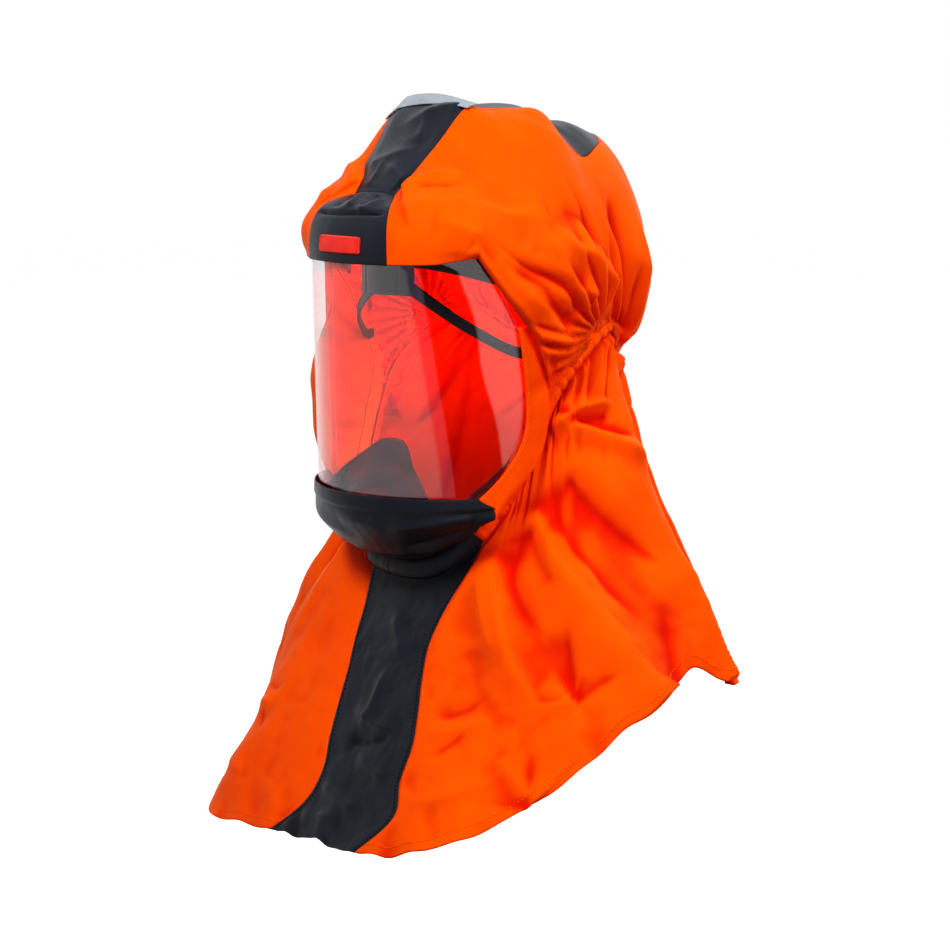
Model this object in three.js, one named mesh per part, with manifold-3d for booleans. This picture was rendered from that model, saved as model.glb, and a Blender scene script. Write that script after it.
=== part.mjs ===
// A loose-fitting respirator hood: a cloth head cover with a bent clear visor, a black chin panel,
// a neck gathered in a casing, and a cape that hangs over the shoulders.
// Millimetres. +Z is up, the face looks along -Y and the wearer's left is +X.
// The origin is the middle of the wearer's head at the level of the brow, where the harness sits.
import * as THREE from "three";
import Module from "manifold-3d";
import { mergeVertices } from "three/addons/utils/BufferGeometryUtils.js";

const wasm = await Module();
wasm.setup();

// Driving dimensions
const CLOTH = 1.6; // wall of the coated cloth
const SHEET = 1.0; // wall of the visor
const WEBBING = 2.2; // wall of the harness straps
const GAP = 0.4; // play between two pieces that are sewn or clamped together
const STEP = 0.002; // step of a surface parameter for its slope

// The visor: a flat sheet bent round to half a drum, with straight ends, shorter on the wearer's right.
const VISOR = { radius: 95, centreY: -55, brow: 11, taper: 0.02, rightHalf: 118 };

// The neck casing: how far it reaches to each side of the gathered ring, and how far it stands off.
const CASING = { above: 6, below: 4, chinAbove: 14, lift: 0.8, belly: 2 };

// Half width of the flat visor sheet at each height.
const visorOutline = table("height half", [
  [20, 114],
  [-12, 127],
  [-48, 147],
  [-80, 150],
  [-110, 149],
  [-138, 132],
  [-164, 108],
]);

// The neck and the cape: one row for every 20 degrees from the chin to the nape.
// neck: the gathered ring. hem: the lower edge, which hangs lower on the wearer's right.
// chest and skirt: how far the cape stands off a straight fall at one and two thirds of its length.
const capeSections = table("neckX neckY neckZ hemX hemY hemZ hemRightZ chest skirt", [
  [0, -97, -222, 0, -186, -409, -409, 0, 2],
  [38, -92, -216, 62, -186, -406, -416, 0, 2],
  [68, -74, -186, 136, -172, -384, -424, -8, 0],
  [84, -50, -140, 178, -122, -352, -405, -14, 0],
  [90, -22, -84, 200, -56, -305, -360, 0, 6],
  [87, 12, -56, 202, 14, -280, -320, 0, 4],
  [78, 45, -42, 178, 80, -302, -302, -10, -4],
  [58, 70, -60, 136, 126, -306, -306, -14, -4],
  [30, 87, -75, 74, 152, -308, -308, -16, -4],
  [0, 93, -80, 0, 162, -308, -308, -16, -4],
]);

// Folds of the cape: where each starts and reaches the hem in degrees, its spread and its depth.
const capeFolds = table("start hem spread depth", [
  [30, 52, 11, -4],
  [44, 70, 10, 3],
  [56, 87, 9, 9],
  [70, 99, 10, -10],
  [100, 112, 8, 7],
  [126, 132, 9, -8],
  [146, 150, 9, 6],
  [-30, -40, 8, 4],
  [-60, -64, 10, -8],
  [-88, -92, 10, 8],
  [-118, -118, 10, -8],
  [-146, -148, 9, 6],
]);

// The bib's two edges from the neck to the hem, in degrees round the cape.
const bibEdges = table("right left", [
  [-17, 37],
  [-13, 27],
  [-11, 23],
  [-8.5, 23.5],
  [-7, 25],
  [-5.5, 26],
  [-3.5, 25],
  [-6, 25.5],
  [-15, 17],
]);

// The upper hood from the brow patch round to the middle of the back, on the wearer's left.
// top: the edge of the crown stripe. crown and cheek: the points that pull a section out.
// rim: where a section ends. rise: how far the stripe's middle stands above its edge.
const hoodSections = table("topX topY topZ crownX crownY crownZ cheekX cheekY cheekZ rimX rimY rimZ rise", [
  [22, -118, 58, 38, -136, 52, 43, -146, 49, 43, -144, 11, 2], // brow patch
  [25, -106, 71, 44, -115, 64, 73, -124, 50, 72, -123, 12, 2], // brow
  [28, -95, 83, 50, -97, 74, 98, -92, 52, 93, -89, 16, 3], // upper corner of the visor
  [31, -82, 97, 60, -80, 84, 112, -74, 44, 98, -72, -18, 3], // rear edge of the visor
  [35, -62, 119, 74, -59, 105, 123, -50, 34, 100, -50, -44, 3], // temple
  [36, -45, 118, 88, -44, 112, 129, -38, 26, 98, -33, -52, 4], // behind the frame
  [36, -24, 117, 95, -26, 115, 134, -24, 16, ...neckRim(75), 4], // gathers from here on
  [37, 2, 113, 93, -8, 101, 135, -8, 18, ...neckRim(90), 9],
  [42, 22, 103, 85, 8, 84, 133, 2, 16, ...neckRim(105), 16],
  [52, 41, 83, 82, 22, 72, 124, 12, 6, ...neckRim(120), 21], // back seam
  [41, 67, 89, 72, 72, 86, 122, 74, -28, ...neckRim(138), 11],
  [23, 89, 93, 44, 108, 87, 74, 134, -46, ...neckRim(158), 3],
  [2, 102, 94, 2, 128, 84, 2, 148, -48, ...neckRim(179), 0], // middle of the back
]);
const BACK_SEAM = 9 / 12; // where the side panel ends along these sections

// Gathers of the side panel above the neck: place along the rim, lean, spread and depth.
const hoodFolds = table("rim lean spread depth", [
  [0.47, -0.12, 0.03, -5],
  [0.53, -0.14, 0.022, 4],
  [0.58, -0.13, 0.022, -5],
  [0.63, -0.11, 0.02, 4],
  [0.675, -0.08, 0.02, -5],
  [0.72, -0.05, 0.02, 4],
]);

// The stiff border along the visor's rear and lower edge on the wearer's left, along the flat sheet.
const frameSections = table("height inner outer", [
  [-40, 141, 157],
  [-82, 147, 167],
  [-112, 146, 167],
  [-136, 131, 156],
  [-156, 112, 136],
]);

// The same border on the wearer's right, where the window ends further forward.
const gussetSections = table("height inner outer", [
  [12, 112, 117],
  [-26, 112, 122],
  [-64, 112, 126],
  [-104, 113, 129],
  [-134, 113, 130],
  [-156, 112, 128],
]);

// The upper edge of the inner neck seal from the wearer's right to the left.
const sealEdge = table("x y z", [
  [-72, -98, -158],
  [-75, -76, -147],
  [-60, -60, -134],
  [-47, -50, -134],
  [-22, -60, -154],
  [4, -68, -172],
  [32, -70, -170],
  [50, -56, -154],
  [57, -36, -140],
]);

// Turns rows of numbers into objects with named columns.
function table(columns, rows) {
  const names = columns.split(" ");
  return rows.map((row) => Object.fromEntries(names.map((name, i) => [name, row[i]])));
}

// A value between the rows of a table, on a smooth curve through one column.
function between(rows, column, share) {
  const place = THREE.MathUtils.clamp(share, 0, 1) * (rows.length - 1);
  const row = Math.min(Math.floor(place), rows.length - 2);
  const at = (i) => {
    if (i < 0) return 2 * rows[0][column] - rows[1][column];
    if (i >= rows.length) return 2 * rows[i - 1][column] - rows[i - 2][column];
    return rows[i][column];
  };
  return smooth(at(row - 1), at(row), at(row + 1), at(row + 2), place - row);
}

// The same round a ring: the rows run from the front (0 degrees) to the back (180 degrees) and are
// mirrored for the wearer's right, where a column that ends in X changes sign.
function around(rows, column, degrees) {
  const steps = rows.length - 1;
  const place = (degrees / 180) * steps;
  const row = Math.floor(place);
  const at = (i) => {
    const turn = ((i % (2 * steps)) + 2 * steps) % (2 * steps);
    const right = turn > steps;
    const value = rows[right ? 2 * steps - turn : turn][right && column === "hemZ" ? "hemRightZ" : column];
    return right && column.endsWith("X") ? -value : value;
  };
  return smooth(at(row - 1), at(row), at(row + 1), at(row + 2), place - row);
}

function smooth(a, b, c, d, t) {
  return b + 0.5 * t * (c - a + t * (2 * a - 5 * b + 4 * c - d + t * (3 * (b - c) + d - a)));
}

function bezier(p0, p1, p2, p3, t) {
  const s = 1 - t;
  return vec(0, 0, 0)
    .addScaledVector(p0, s * s * s)
    .addScaledVector(p1, 3 * s * s * t)
    .addScaledVector(p2, 3 * s * t * t)
    .addScaledVector(p3, t * t * t);
}

function vec(x, y, z) {
  return new THREE.Vector3(x, y, z);
}

function lerp(a, b, t) {
  return a + (b - a) * t;
}

function ease(low, high, t) {
  return THREE.MathUtils.smoothstep(t, low, high);
}

function rad(degrees) {
  return (degrees * Math.PI) / 180;
}

// The normal of a surface, pointing away from a centre point.
function normalOf(surface, u, v, centre) {
  const alongU = surface(Math.min(u + STEP, 1), v).sub(surface(Math.max(u - STEP, 0), v));
  const alongV = surface(u, Math.min(v + STEP, 1)).sub(surface(u, Math.max(v - STEP, 0)));
  const normal = alongU.cross(alongV).normalize();
  return normal.dot(surface(u, v).sub(centre)) < 0 ? normal.negate() : normal;
}

// The point that lies a depth inside a surface.
function inside(surface, u, v, depth, centre) {
  return surface(u, v).addScaledVector(normalOf(surface, u, v, centre), -depth);
}

// A wall whose outer face is surface(u, v) and whose inner face lies one thickness inside it.
function wall(surface, across, down, thickness, centre) {
  const outer = [];
  const inner = [];
  let facing = 0;
  for (let j = 0; j <= down; j++) {
    for (let i = 0; i <= across; i++) {
      const u = i / across;
      const v = j / down;
      const point = surface(u, v);
      const alongU = surface(Math.min(u + STEP, 1), v).sub(surface(Math.max(u - STEP, 0), v));
      const alongV = surface(u, Math.min(v + STEP, 1)).sub(surface(u, Math.max(v - STEP, 0)));
      const normal = alongU.cross(alongV).normalize();
      facing += Math.sign(normal.dot(point.clone().sub(centre)));
      outer.push(point);
      inner.push(normal);
    }
  }
  const outward = facing > 0;
  const vertices = outer.flatMap((point) => point.toArray());
  outer.forEach((point, i) => {
    const depth = outward ? -thickness : thickness;
    vertices.push(...point.clone().addScaledVector(inner[i], depth).toArray());
  });
  const count = outer.length;
  const faces = [];
  const quad = (a, b, c, d) => (outward ? faces.push(a, b, c, a, c, d) : faces.push(a, c, b, a, d, c));
  const id = (i, j) => j * (across + 1) + i;
  for (let j = 0; j < down; j++) {
    for (let i = 0; i < across; i++) {
      quad(id(i, j), id(i + 1, j), id(i + 1, j + 1), id(i, j + 1));
      quad(count + id(i, j), count + id(i, j + 1), count + id(i + 1, j + 1), count + id(i + 1, j));
    }
    quad(id(0, j), id(0, j + 1), count + id(0, j + 1), count + id(0, j));
    quad(id(across, j), count + id(across, j), count + id(across, j + 1), id(across, j + 1));
  }
  for (let i = 0; i < across; i++) {
    quad(id(i, 0), count + id(i, 0), count + id(i + 1, 0), id(i + 1, 0));
    quad(id(i, down), id(i + 1, down), count + id(i + 1, down), count + id(i, down));
  }
  const geometry = new THREE.BufferGeometry();
  geometry.setAttribute("position", new THREE.Float32BufferAttribute(vertices, 3));
  geometry.setIndex(faces);
  return geometry;
}

const mirrored = (surface) => (u, v) => surface(u, v).multiply(vec(-1, 1, 1));

// Visor

// A point of the bent sheet: w along the flat sheet from its middle, and a height.
function visorPoint(w, height, out = 0) {
  const radius = VISOR.radius - Math.max(VISOR.brow - height, 0) * VISOR.taper + out;
  const quarter = (VISOR.radius * Math.PI) / 2;
  const past = Math.max(Math.abs(w) - quarter, 0);
  const angle = (Math.sign(w) * Math.min(Math.abs(w), quarter)) / VISOR.radius;
  return vec(radius * Math.sin(angle), VISOR.centreY - radius * Math.cos(angle) + past, height);
}

// The sheet's half width at a height, straight between the rows of its outline.
function visorHalf(height) {
  const below = Math.max(visorOutline.findIndex((row) => row.height <= height), 1);
  const high = visorOutline[below - 1];
  const low = visorOutline[below];
  return lerp(high.half, low.half, (high.height - height) / (high.height - low.height));
}

function visorSurface(u, v) {
  const height = lerp(visorOutline[0].height, visorOutline[visorOutline.length - 1].height + 0.01, v);
  const left = visorHalf(height);
  return visorPoint(lerp(-Math.min(left, VISOR.rightHalf), left, u), height);
}

// Neck

// The gathered ring: a point, the way out of the neck and the way up to the head.
function neckFrame(degrees) {
  const at = (turn) => vec(...["X", "Y", "Z"].map((axis) => around(capeSections, "neck" + axis, turn)));
  const point = at(degrees);
  const along = at(degrees + 1).sub(at(degrees - 1)).normalize();
  const out = vec(point.x, point.y, 0).normalize();
  return { point, out, up: out.clone().cross(along).normalize() };
}

function neckPoint(degrees, up, out = 0) {
  const ring = neckFrame(degrees);
  return ring.point.addScaledVector(ring.up, up).addScaledVector(ring.out, out);
}

function neckRim(degrees) {
  return neckPoint(degrees, CASING.above + 2).toArray();
}

// How far the casing reaches up: higher in front, where it meets the chin panel.
function casingTop(degrees) {
  const turn = Math.abs(degrees > 180 ? degrees - 360 : degrees);
  return lerp(CASING.chinAbove, CASING.above, ease(38, 62, turn));
}

function casingSurface(from, to) {
  return (u, v) => {
    const degrees = lerp(from, to, u);
    const up = lerp(casingTop(degrees), -CASING.below, v);
    return neckPoint(degrees, up, CASING.lift + CASING.belly * Math.sin(Math.PI * v));
  };
}

// Hood

function hoodPoint(u, v) {
  const at = (part) => vec(...["X", "Y", "Z"].map((axis) => between(hoodSections, part + axis, u)));
  return bezier(at("top"), at("crown"), at("cheek"), at("rim"), v);
}

// The gathers stand off the plain section near the rim and run out towards the crown.
function gatheredPoint(u, v) {
  const point = hoodPoint(u, v);
  const reach = ease(0.45, 0.95, v);
  let depth = 0;
  for (const fold of hoodFolds) {
    const middle = fold.rim + fold.lean * (1 - v);
    const spread = fold.spread * (1 + 1.5 * (1 - v));
    depth += fold.depth * Math.exp(-(((u - middle) / spread) ** 2));
  }
  const out = vec(point.x, point.y, 0).normalize();
  return point.addScaledVector(out, depth * reach * (1 - ease(0.9, 1, v)));
}

function sideSurface(u, v) {
  return gatheredPoint(lerp(0, BACK_SEAM - 0.001, u), v);
}

function backSurface(u, v) {
  const side = 2 * u - 1;
  const point = hoodPoint(lerp(1, BACK_SEAM + 0.003, Math.abs(side)), lerp(0.02, 1, v));
  point.x *= Math.abs(side) < 0.001 ? 0 : Math.sign(side);
  return point;
}

// On the wearer's right the stripe's seam lies lower on the side panel over the front of the crown.
const RIGHT_SEAM = { from: 0.06, full: 0.18, fade: 0.42, to: 0.58, share: 0.11 };

function rightSeam(share) {
  const front = ease(RIGHT_SEAM.from, RIGHT_SEAM.full, share);
  return RIGHT_SEAM.share * front * (1 - ease(RIGHT_SEAM.fade, RIGHT_SEAM.to, share));
}

// A point across the stripe: side 1 is its left seam and side -1 its right seam.
function stripePoint(side, share) {
  const edge = hoodPoint(share, 0);
  const half = edge.x - 2 * GAP;
  const rise = between(hoodSections, "rise", share);
  const seam = rightSeam(share);
  const lap = hoodPoint(share, seam).distanceTo(edge);
  const reach = side < 0 ? side * (half + lap) : side * half;
  if (reach > -half) return vec(reach, edge.y, edge.z + rise * (1 - (reach / half) ** 2));
  const past = (-half - reach) / Math.max(lap, 0.001);
  const point = hoodPoint(share, seam * past);
  return vec(2 * GAP - point.x, point.y, point.z);
}

const sideRight = (u, v) => {
  const share = lerp(0, BACK_SEAM - 0.001, u);
  const seam = rightSeam(share);
  const from = seam + 0.01 * ease(0, 0.015, seam);
  return gatheredPoint(share, lerp(from, 1, v)).multiply(vec(-1, 1, 1));
};

const stripeSurface = (u, v) => stripePoint(2 * u - 1, lerp(0.004, 1, v));

const PATCH_BOW = 10; // how far the brow stands in front of the patch's side edges

function patchSurface(u, v) {
  const side = 2 * u - 1;
  const edge = hoodPoint(0, v);
  const round = 1 - side * side;
  const rise = hoodSections[0].rise * (1 - v);
  return vec(side * (edge.x - 2 * GAP), edge.y - PATCH_BOW * round * v, edge.z + rise * round);
}

// A piece laid on another surface, over a part of its two parameters.
function laidOn(surface, fromU, toU, fromV, toV, lift, centre) {
  return (u, v) => inside(surface, lerp(fromU, toU, u), lerp(fromV, toV, v), -lift, centre);
}

// The pale tape across the crown stripe; it stands off the cloth, most of all near its right end.
const TAPE = { from: 0.325, to: 0.37, half: 1.12, lift: 2.4, arch: 9, peak: -0.62 };

function tapeSurface(u, v) {
  const side = (2 * u - 1) * TAPE.half;
  const point = stripePoint(side, lerp(TAPE.from, TAPE.to, v));
  const left = ease(-TAPE.half, -TAPE.peak, -side);
  const right = ease(-TAPE.half, TAPE.peak, side);
  return point.add(vec(0, 0, TAPE.lift + TAPE.arch * left * right));
}

// Chin panel: from the lower edge of the visor down and back to the neck casing.
const CHIN = { half: 65, edgeZ: -156, lift: 2.2, swell: 3, drop: 24, tuck: 30, turn: 0.62 };

function chinPoint(degrees, v) {
  const edge = visorPoint(rad(degrees) * VISOR.radius, CHIN.edgeZ, CHIN.lift);
  const neck = neckPoint(degrees * CHIN.turn, casingTop(degrees * CHIN.turn) + 1, 1);
  const out = vec(Math.sin(rad(degrees)), -Math.cos(rad(degrees)), 0);
  const upper = edge.clone().addScaledVector(out, CHIN.swell).add(vec(0, 0, -CHIN.drop));
  const lower = neck.clone().addScaledVector(out, CHIN.tuck);
  return bezier(edge, upper, lower, neck, v);
}

const chinSurface = (u, v) => chinPoint(lerp(-CHIN.half, CHIN.half, u), v);

// Frame: a face along the visor, then a return that runs to the side panel's rim and the neck casing.
// On the wearer's right the face flares and the return is a wide gusset.
const FRAME = { face: 0.6, lift: 2.2, flare: 2, rimFrom: 0.34, joint: 0.3 };
const GUSSET = { face: 0.3, lift: 2.2, flare: 20, rimFrom: 0.175, joint: 0.4 };
const RIM_GAP = 2.5; // how far the rear edge lies inside, before and below the rim
const RIM_TO = 0.49; // where the rear edge leaves the side panel's rim for the casing
const FRAME_TURN = { from: 74, to: 41.5 };

function frameRear(u, size) {
  const rim = lerp(size.rimFrom, RIM_TO, u / size.joint);
  if (u < size.joint) return hoodPoint(rim, 1).add(vec(-RIM_GAP, -RIM_GAP, -RIM_GAP));
  const turn = lerp(FRAME_TURN.from, FRAME_TURN.to, (u - size.joint) / (1 - size.joint));
  return neckPoint(turn, casingTop(turn) + 2.5);
}

function frameSurface(sections, size) {
  return (u, v) => {
    const across = Math.min(v / size.face, 1);
    const height = between(sections, "height", u);
    const w = lerp(between(sections, "inner", u), between(sections, "outer", u), across);
    const face = visorPoint(w, height, size.lift + size.flare * across * ease(0.1, 0.35, u));
    const point = face.lerp(frameRear(u, size), Math.max(v - size.face, 0) / (1 - size.face));
    return point.lerp(chinPoint(CHIN.half + 1.2, v), ease(0.75, 1, u));
  };
}

// Cape

function capePoint(degrees, v) {
  const row = (column) => around(capeSections, column, degrees);
  const neck = neckPoint(degrees, -CASING.below - 1);
  const hem = vec(row("hemX"), row("hemY"), row("hemZ"));
  const out = hem.clone().sub(neck).setZ(0).normalize();
  const upper = neck.clone().lerp(hem, 1 / 3).addScaledVector(out, row("chest"));
  const lower = neck.clone().lerp(hem, 2 / 3).addScaledVector(out, row("skirt"));
  let depth = 0;
  for (const fold of capeFolds) {
    const middle = lerp(fold.start, fold.hem, v);
    depth += fold.depth * Math.exp(-(((degrees - middle) / fold.spread) ** 2));
  }
  return bezier(neck, upper, lower, hem, v).addScaledVector(out, depth * ease(0.05, 0.6, v));
}

function bibEdge(side, v) {
  return between(bibEdges, side, v);
}

const capeLeft = (u, v) => capePoint(lerp(bibEdge("left", v) + 0.2, 179.85, u), v);
const capeRight = (u, v) => capePoint(lerp(bibEdge("right", v) - 0.2, -179.85, u), v);
const bibSurface = (u, v) => capePoint(lerp(bibEdge("right", v) + 0.2, bibEdge("left", v) - 0.2, u), v);

// Neck seal: a soft black collar that rises inside the chin panel.
function sealSurface(u, v) {
  const foot = inside(chinSurface, lerp(0.13, 0.87, u), 0.35, CLOTH + GAP + 0.2, vec(0, -40, -150));
  const top = vec(between(sealEdge, "x", u), between(sealEdge, "y", u), between(sealEdge, "z", u));
  const belly = foot.clone().lerp(top, 0.5).add(vec(0, 0, -6));
  return bezier(foot, belly, belly, top, v);
}

// Harness

const BRACKET = { half: 0.8, footV: 0.8, backY: -108, dropZ: -20 };

// The brow bracket runs back from the brow patch and turns down in front of the forehead.
function bracketSurface(u, v) {
  const foot = inside(patchSurface, 0.5 + (u - 0.5) * BRACKET.half, BRACKET.footV, CLOTH + GAP, vec(0, 0, 0));
  const x = (2 * u - 1) * 37;
  const bend = 8 * (2 * u - 1) ** 2;
  const rear = vec(x, BRACKET.backY + bend + 4, foot.z + 10);
  const down = vec(x, BRACKET.backY + bend, BRACKET.dropZ);
  return bezier(foot, foot.clone().lerp(rear, 0.6).add(vec(0, 0, 4)), rear, down, v);
}

// A flat strap along a smooth curve; its width is upright.
function strapSurface(path, width) {
  const curve = new THREE.CatmullRomCurve3(path, false, "centripetal");
  return (u, v) => curve.getPoint(u).add(vec(0, 0, (0.5 - v) * width(u)));
}

// The upper strap ends on the side panel at the temple, the lower strap behind the visor frame.
const templePath = [
  vec(26, -102, 14),
  vec(40, -98.8, 13),
  vec(62, -92, 10),
  vec(82, -76, 4),
  inside(hoodPoint, 0.3, 0.84, CLOTH + GAP + 2.5, vec(0, 0, 0)),
];
const cheekPath = [
  vec(26, -101, -6),
  vec(40, -96, -12),
  vec(60, -84, -26),
  vec(82, -58, -44),
  inside(hoodPoint, 0.41, 0.9, CLOTH + GAP + 2.4, vec(0, 0, 0)),
];
const templeStrap = strapSurface(templePath, () => 16);
const cheekStrap = strapSurface(cheekPath, (u) => lerp(17, 9, u));

// Air inlet: a flanged spigot clamped through the cape below the nape.
const INLET = {
  share: 0.13, // place down the cape
  bore: 14,
  spigot: 17,
  flange: 23,
  collar: 20,
  plate: 2.5,
  seat: 1.6,
  reach: 18,
  nut: 6,
};

function inletGeometry(axisPoint, axis) {
  const inner = -CLOTH - 2 * INLET.seat - INLET.plate;
  const outer = INLET.seat + INLET.plate;
  const profile = [
    [INLET.bore, inner - INLET.nut],
    [INLET.spigot, inner - INLET.nut],
    [INLET.spigot, inner],
    [INLET.collar, inner],
    [INLET.collar, inner + INLET.plate],
    [INLET.spigot, inner + INLET.plate],
    [INLET.spigot, outer - INLET.plate],
    [INLET.flange, outer - INLET.plate],
    [INLET.flange, outer],
    [INLET.spigot, outer],
    [INLET.spigot, outer + INLET.reach],
    [INLET.bore, outer + INLET.reach],
    [INLET.bore, inner - INLET.nut],
  ].map(([r, h]) => new THREE.Vector2(r, h));
  const geometry = new THREE.LatheGeometry(profile, 20);
  return place(geometry, axisPoint, axis);
}

function place(geometry, point, axis) {
  const turn = new THREE.Quaternion().setFromUnitVectors(vec(0, 1, 0), axis);
  return geometry.applyQuaternion(turn).translate(point.x, point.y, point.z);
}

function toSolid(geometry) {
  const bare = new THREE.BufferGeometry();
  bare.setAttribute("position", geometry.getAttribute("position").clone());
  if (geometry.index) bare.setIndex(geometry.index.clone());
  const merged = mergeVertices(bare, 1e-4);
  const mesh = new wasm.Mesh({
    numProp: 3,
    vertProperties: new Float32Array(merged.getAttribute("position").array),
    triVerts: new Uint32Array(merged.index.array),
  });
  return new wasm.Manifold(mesh);
}

function toGeometry(solid) {
  const mesh = solid.getMesh();
  const geometry = new THREE.BufferGeometry();
  geometry.setAttribute("position", new THREE.BufferAttribute(Float32Array.from(mesh.vertProperties), 3));
  geometry.setIndex(new THREE.BufferAttribute(Uint32Array.from(mesh.triVerts), 1));
  return geometry;
}

function cut(geometry, tool) {
  return toGeometry(toSolid(geometry).subtract(toSolid(tool)));
}

// Assembly

const head = vec(0, 0, 0);
const face = vec(0, -30, -80);
const chest = vec(0, 0, -200);

const inletPoint = capePoint(180, INLET.share);
const inletAxis = normalOf(capeLeft, 1, INLET.share, chest).setX(0).normalize();
const holeRadius = INLET.spigot + 1.5 * GAP;
const inletHole = place(new THREE.CylinderGeometry(holeRadius, holeRadius, 60, 20), inletPoint, inletAxis);

const orange = { color: 0xf8570e, roughness: 0.72 };
const black = { color: 0x24262d, roughness: 0.6 };
const grey = { color: 0xc4c7cb, roughness: 0.6 };
const red = { color: 0xc8332c, roughness: 0.5 };
const plastic = { color: 0x33353b, roughness: 0.45 };
const clear = { color: 0xf2f4f6, roughness: 0.06, transparent: true, opacity: 0.2 };

const pieces = [
  ["visor", wall(visorSurface, 21, 6, SHEET, face), clear],
  ["visor_frame_left", wall(frameSurface(frameSections, FRAME), 14, 5, CLOTH, face), orange],
  ["visor_frame_right", wall(mirrored(frameSurface(gussetSections, GUSSET)), 14, 5, CLOTH, face), orange],
  ["brow_patch", wall(patchSurface, 8, 6, CLOTH, head), black],
  ["brow_label", wall(laidOn(patchSurface, 0.24, 0.76, 0.8, 0.94, 1.4, head), 6, 2, 1, head), red],
  ["crown_stripe", wall(stripeSurface, 5, 22, CLOTH, head), black],
  ["crown_tape", wall(tapeSurface, 10, 2, 1, head), grey],
  ["side_panel_left", wall(sideSurface, 28, 9, CLOTH, head), orange],
  ["side_panel_right", wall(sideRight, 28, 9, CLOTH, head), orange],
  ["back_panel", wall(backSurface, 12, 9, CLOTH, head), orange],
  ["chin_panel", wall(chinSurface, 18, 6, CLOTH, vec(0, -40, -150)), black],
  ["neck_band", wall(casingSurface(-18, 38), 8, 2, CLOTH, chest), black],
  ["neck_casing", wall(casingSurface(38.6, 341.4), 36, 2, CLOTH, chest), orange],
  ["neck_seal", wall(sealSurface, 14, 3, 1, vec(0, -40, -120)), black],
  ["bib", wall(bibSurface, 6, 10, CLOTH, chest), black],
  ["cape_left", cut(wall(capeLeft, 21, 10, CLOTH, chest), inletHole), orange],
  ["cape_right", cut(wall(capeRight, 21, 10, CLOTH, chest), inletHole), orange],
  ["brow_bracket", wall(bracketSurface, 6, 8, WEBBING, vec(0, -130, -20)), plastic],
  ["temple_strap_left", wall(templeStrap, 10, 1, WEBBING, head), plastic],
  ["temple_strap_right", wall(mirrored(templeStrap), 10, 1, WEBBING, head), plastic],
  ["cheek_strap_left", wall(cheekStrap, 10, 1, WEBBING, head), plastic],
  ["cheek_strap_right", wall(mirrored(cheekStrap), 10, 1, WEBBING, head), plastic],
  ["air_inlet", inletGeometry(inletPoint, inletAxis), plastic],
];

const hood = new THREE.Group();
hood.name = "respirator_hood";
for (const [name, geometry, finish] of pieces) {
  const mesh = new THREE.Mesh(geometry, new THREE.MeshStandardMaterial({ metalness: 0, ...finish }));
  mesh.name = name;
  hood.add(mesh);
}

export default hood;
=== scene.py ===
import math

import bpy
import numpy as np
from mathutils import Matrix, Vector


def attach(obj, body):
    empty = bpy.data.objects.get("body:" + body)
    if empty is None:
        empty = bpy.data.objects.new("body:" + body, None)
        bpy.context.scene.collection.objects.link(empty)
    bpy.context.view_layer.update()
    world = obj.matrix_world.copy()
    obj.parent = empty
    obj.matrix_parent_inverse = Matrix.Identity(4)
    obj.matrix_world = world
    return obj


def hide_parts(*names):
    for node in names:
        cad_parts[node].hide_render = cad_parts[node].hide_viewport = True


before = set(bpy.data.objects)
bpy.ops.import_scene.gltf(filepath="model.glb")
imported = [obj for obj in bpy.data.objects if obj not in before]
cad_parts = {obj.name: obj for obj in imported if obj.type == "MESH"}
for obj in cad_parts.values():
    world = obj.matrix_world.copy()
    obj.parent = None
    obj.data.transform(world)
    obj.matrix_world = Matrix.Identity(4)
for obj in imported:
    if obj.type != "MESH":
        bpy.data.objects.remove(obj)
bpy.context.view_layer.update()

# Respirator hood, worn form. Shapes are worked out in millimetres and stored in metres.
# +Z is up, the face looks along -Y, the wearer's left is +X.
mm = 0.001
headCentre = np.array([0, 0, 0])
faceCentre = np.array([0, -30, -80])
chestCentre = np.array([0, 0, -200])


# Smooth step from 0 at low to 1 at high
def ease(low, high, t):
    x = np.clip((t - low) / (high - low), 0, 1)
    return x * x * (3 - 2 * x)


# Straight mix: a at t = 0 and b at t = 1
def lerp(a, b, t):
    return a + (b - a) * t


# Vectors divided by their own length
def unit(v):
    return v / np.maximum(np.linalg.norm(v, axis=-1, keepdims=True), 1e-12)


# Gaussian bell: 1 at x = 0
def bell(x):
    return np.exp(-(x * x))


# 0 at both ends of the range 0 to 1, and 1 further in than width
def inner(t, width):
    return ease(0, width, t) * ease(0, width, 1 - t)


# One span of a Catmull-Rom curve from b to c, with a and d as the neighbours
def catmull(a, b, c, d, t):
    return b + 0.5 * t * (c - a + t * (2 * a - 5 * b + 4 * c - d + t * (3 * (b - c) + d - a)))


# Catmull-Rom through evenly spaced rows of a table; share runs from 0 at the first row to 1 at the last,
# and a row that follows the last one may be given
def throughRows(rows, share, after=None):
    rows = np.asarray(rows, float)
    after = 2 * rows[-1] - rows[-2] if after is None else after
    place = np.clip(share, 0, 1) * (len(rows) - 1)
    k = np.minimum(place.astype(int), len(rows) - 2)
    full = np.vstack([2 * rows[0] - rows[1], rows, after])
    return catmull(full[k], full[k + 1], full[k + 2], full[k + 3], (place - k)[..., None])


# Cubic Bezier curve of four points
def bezier(p0, p1, p2, p3, t):
    t = t[..., None]
    s = 1 - t
    return p0 * s**3 + 3 * p1 * s * s * t + 3 * p2 * s * t * t + p3 * t**3


# Two parameters from 0 to 1 on a grid, u along the first axis and v along the second
def gridOf(countU, countV):
    return np.meshgrid(np.linspace(0, 1, countU + 1), np.linspace(0, 1, countV + 1), indexing="ij")


# Unit normals of a grid of points, all on the side that faces away from centre
def normalsOf(points, centre):
    n = unit(np.cross(np.gradient(points, axis=0), np.gradient(points, axis=1)))
    return n * np.sign(np.sum(n * (points - centre)))


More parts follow.
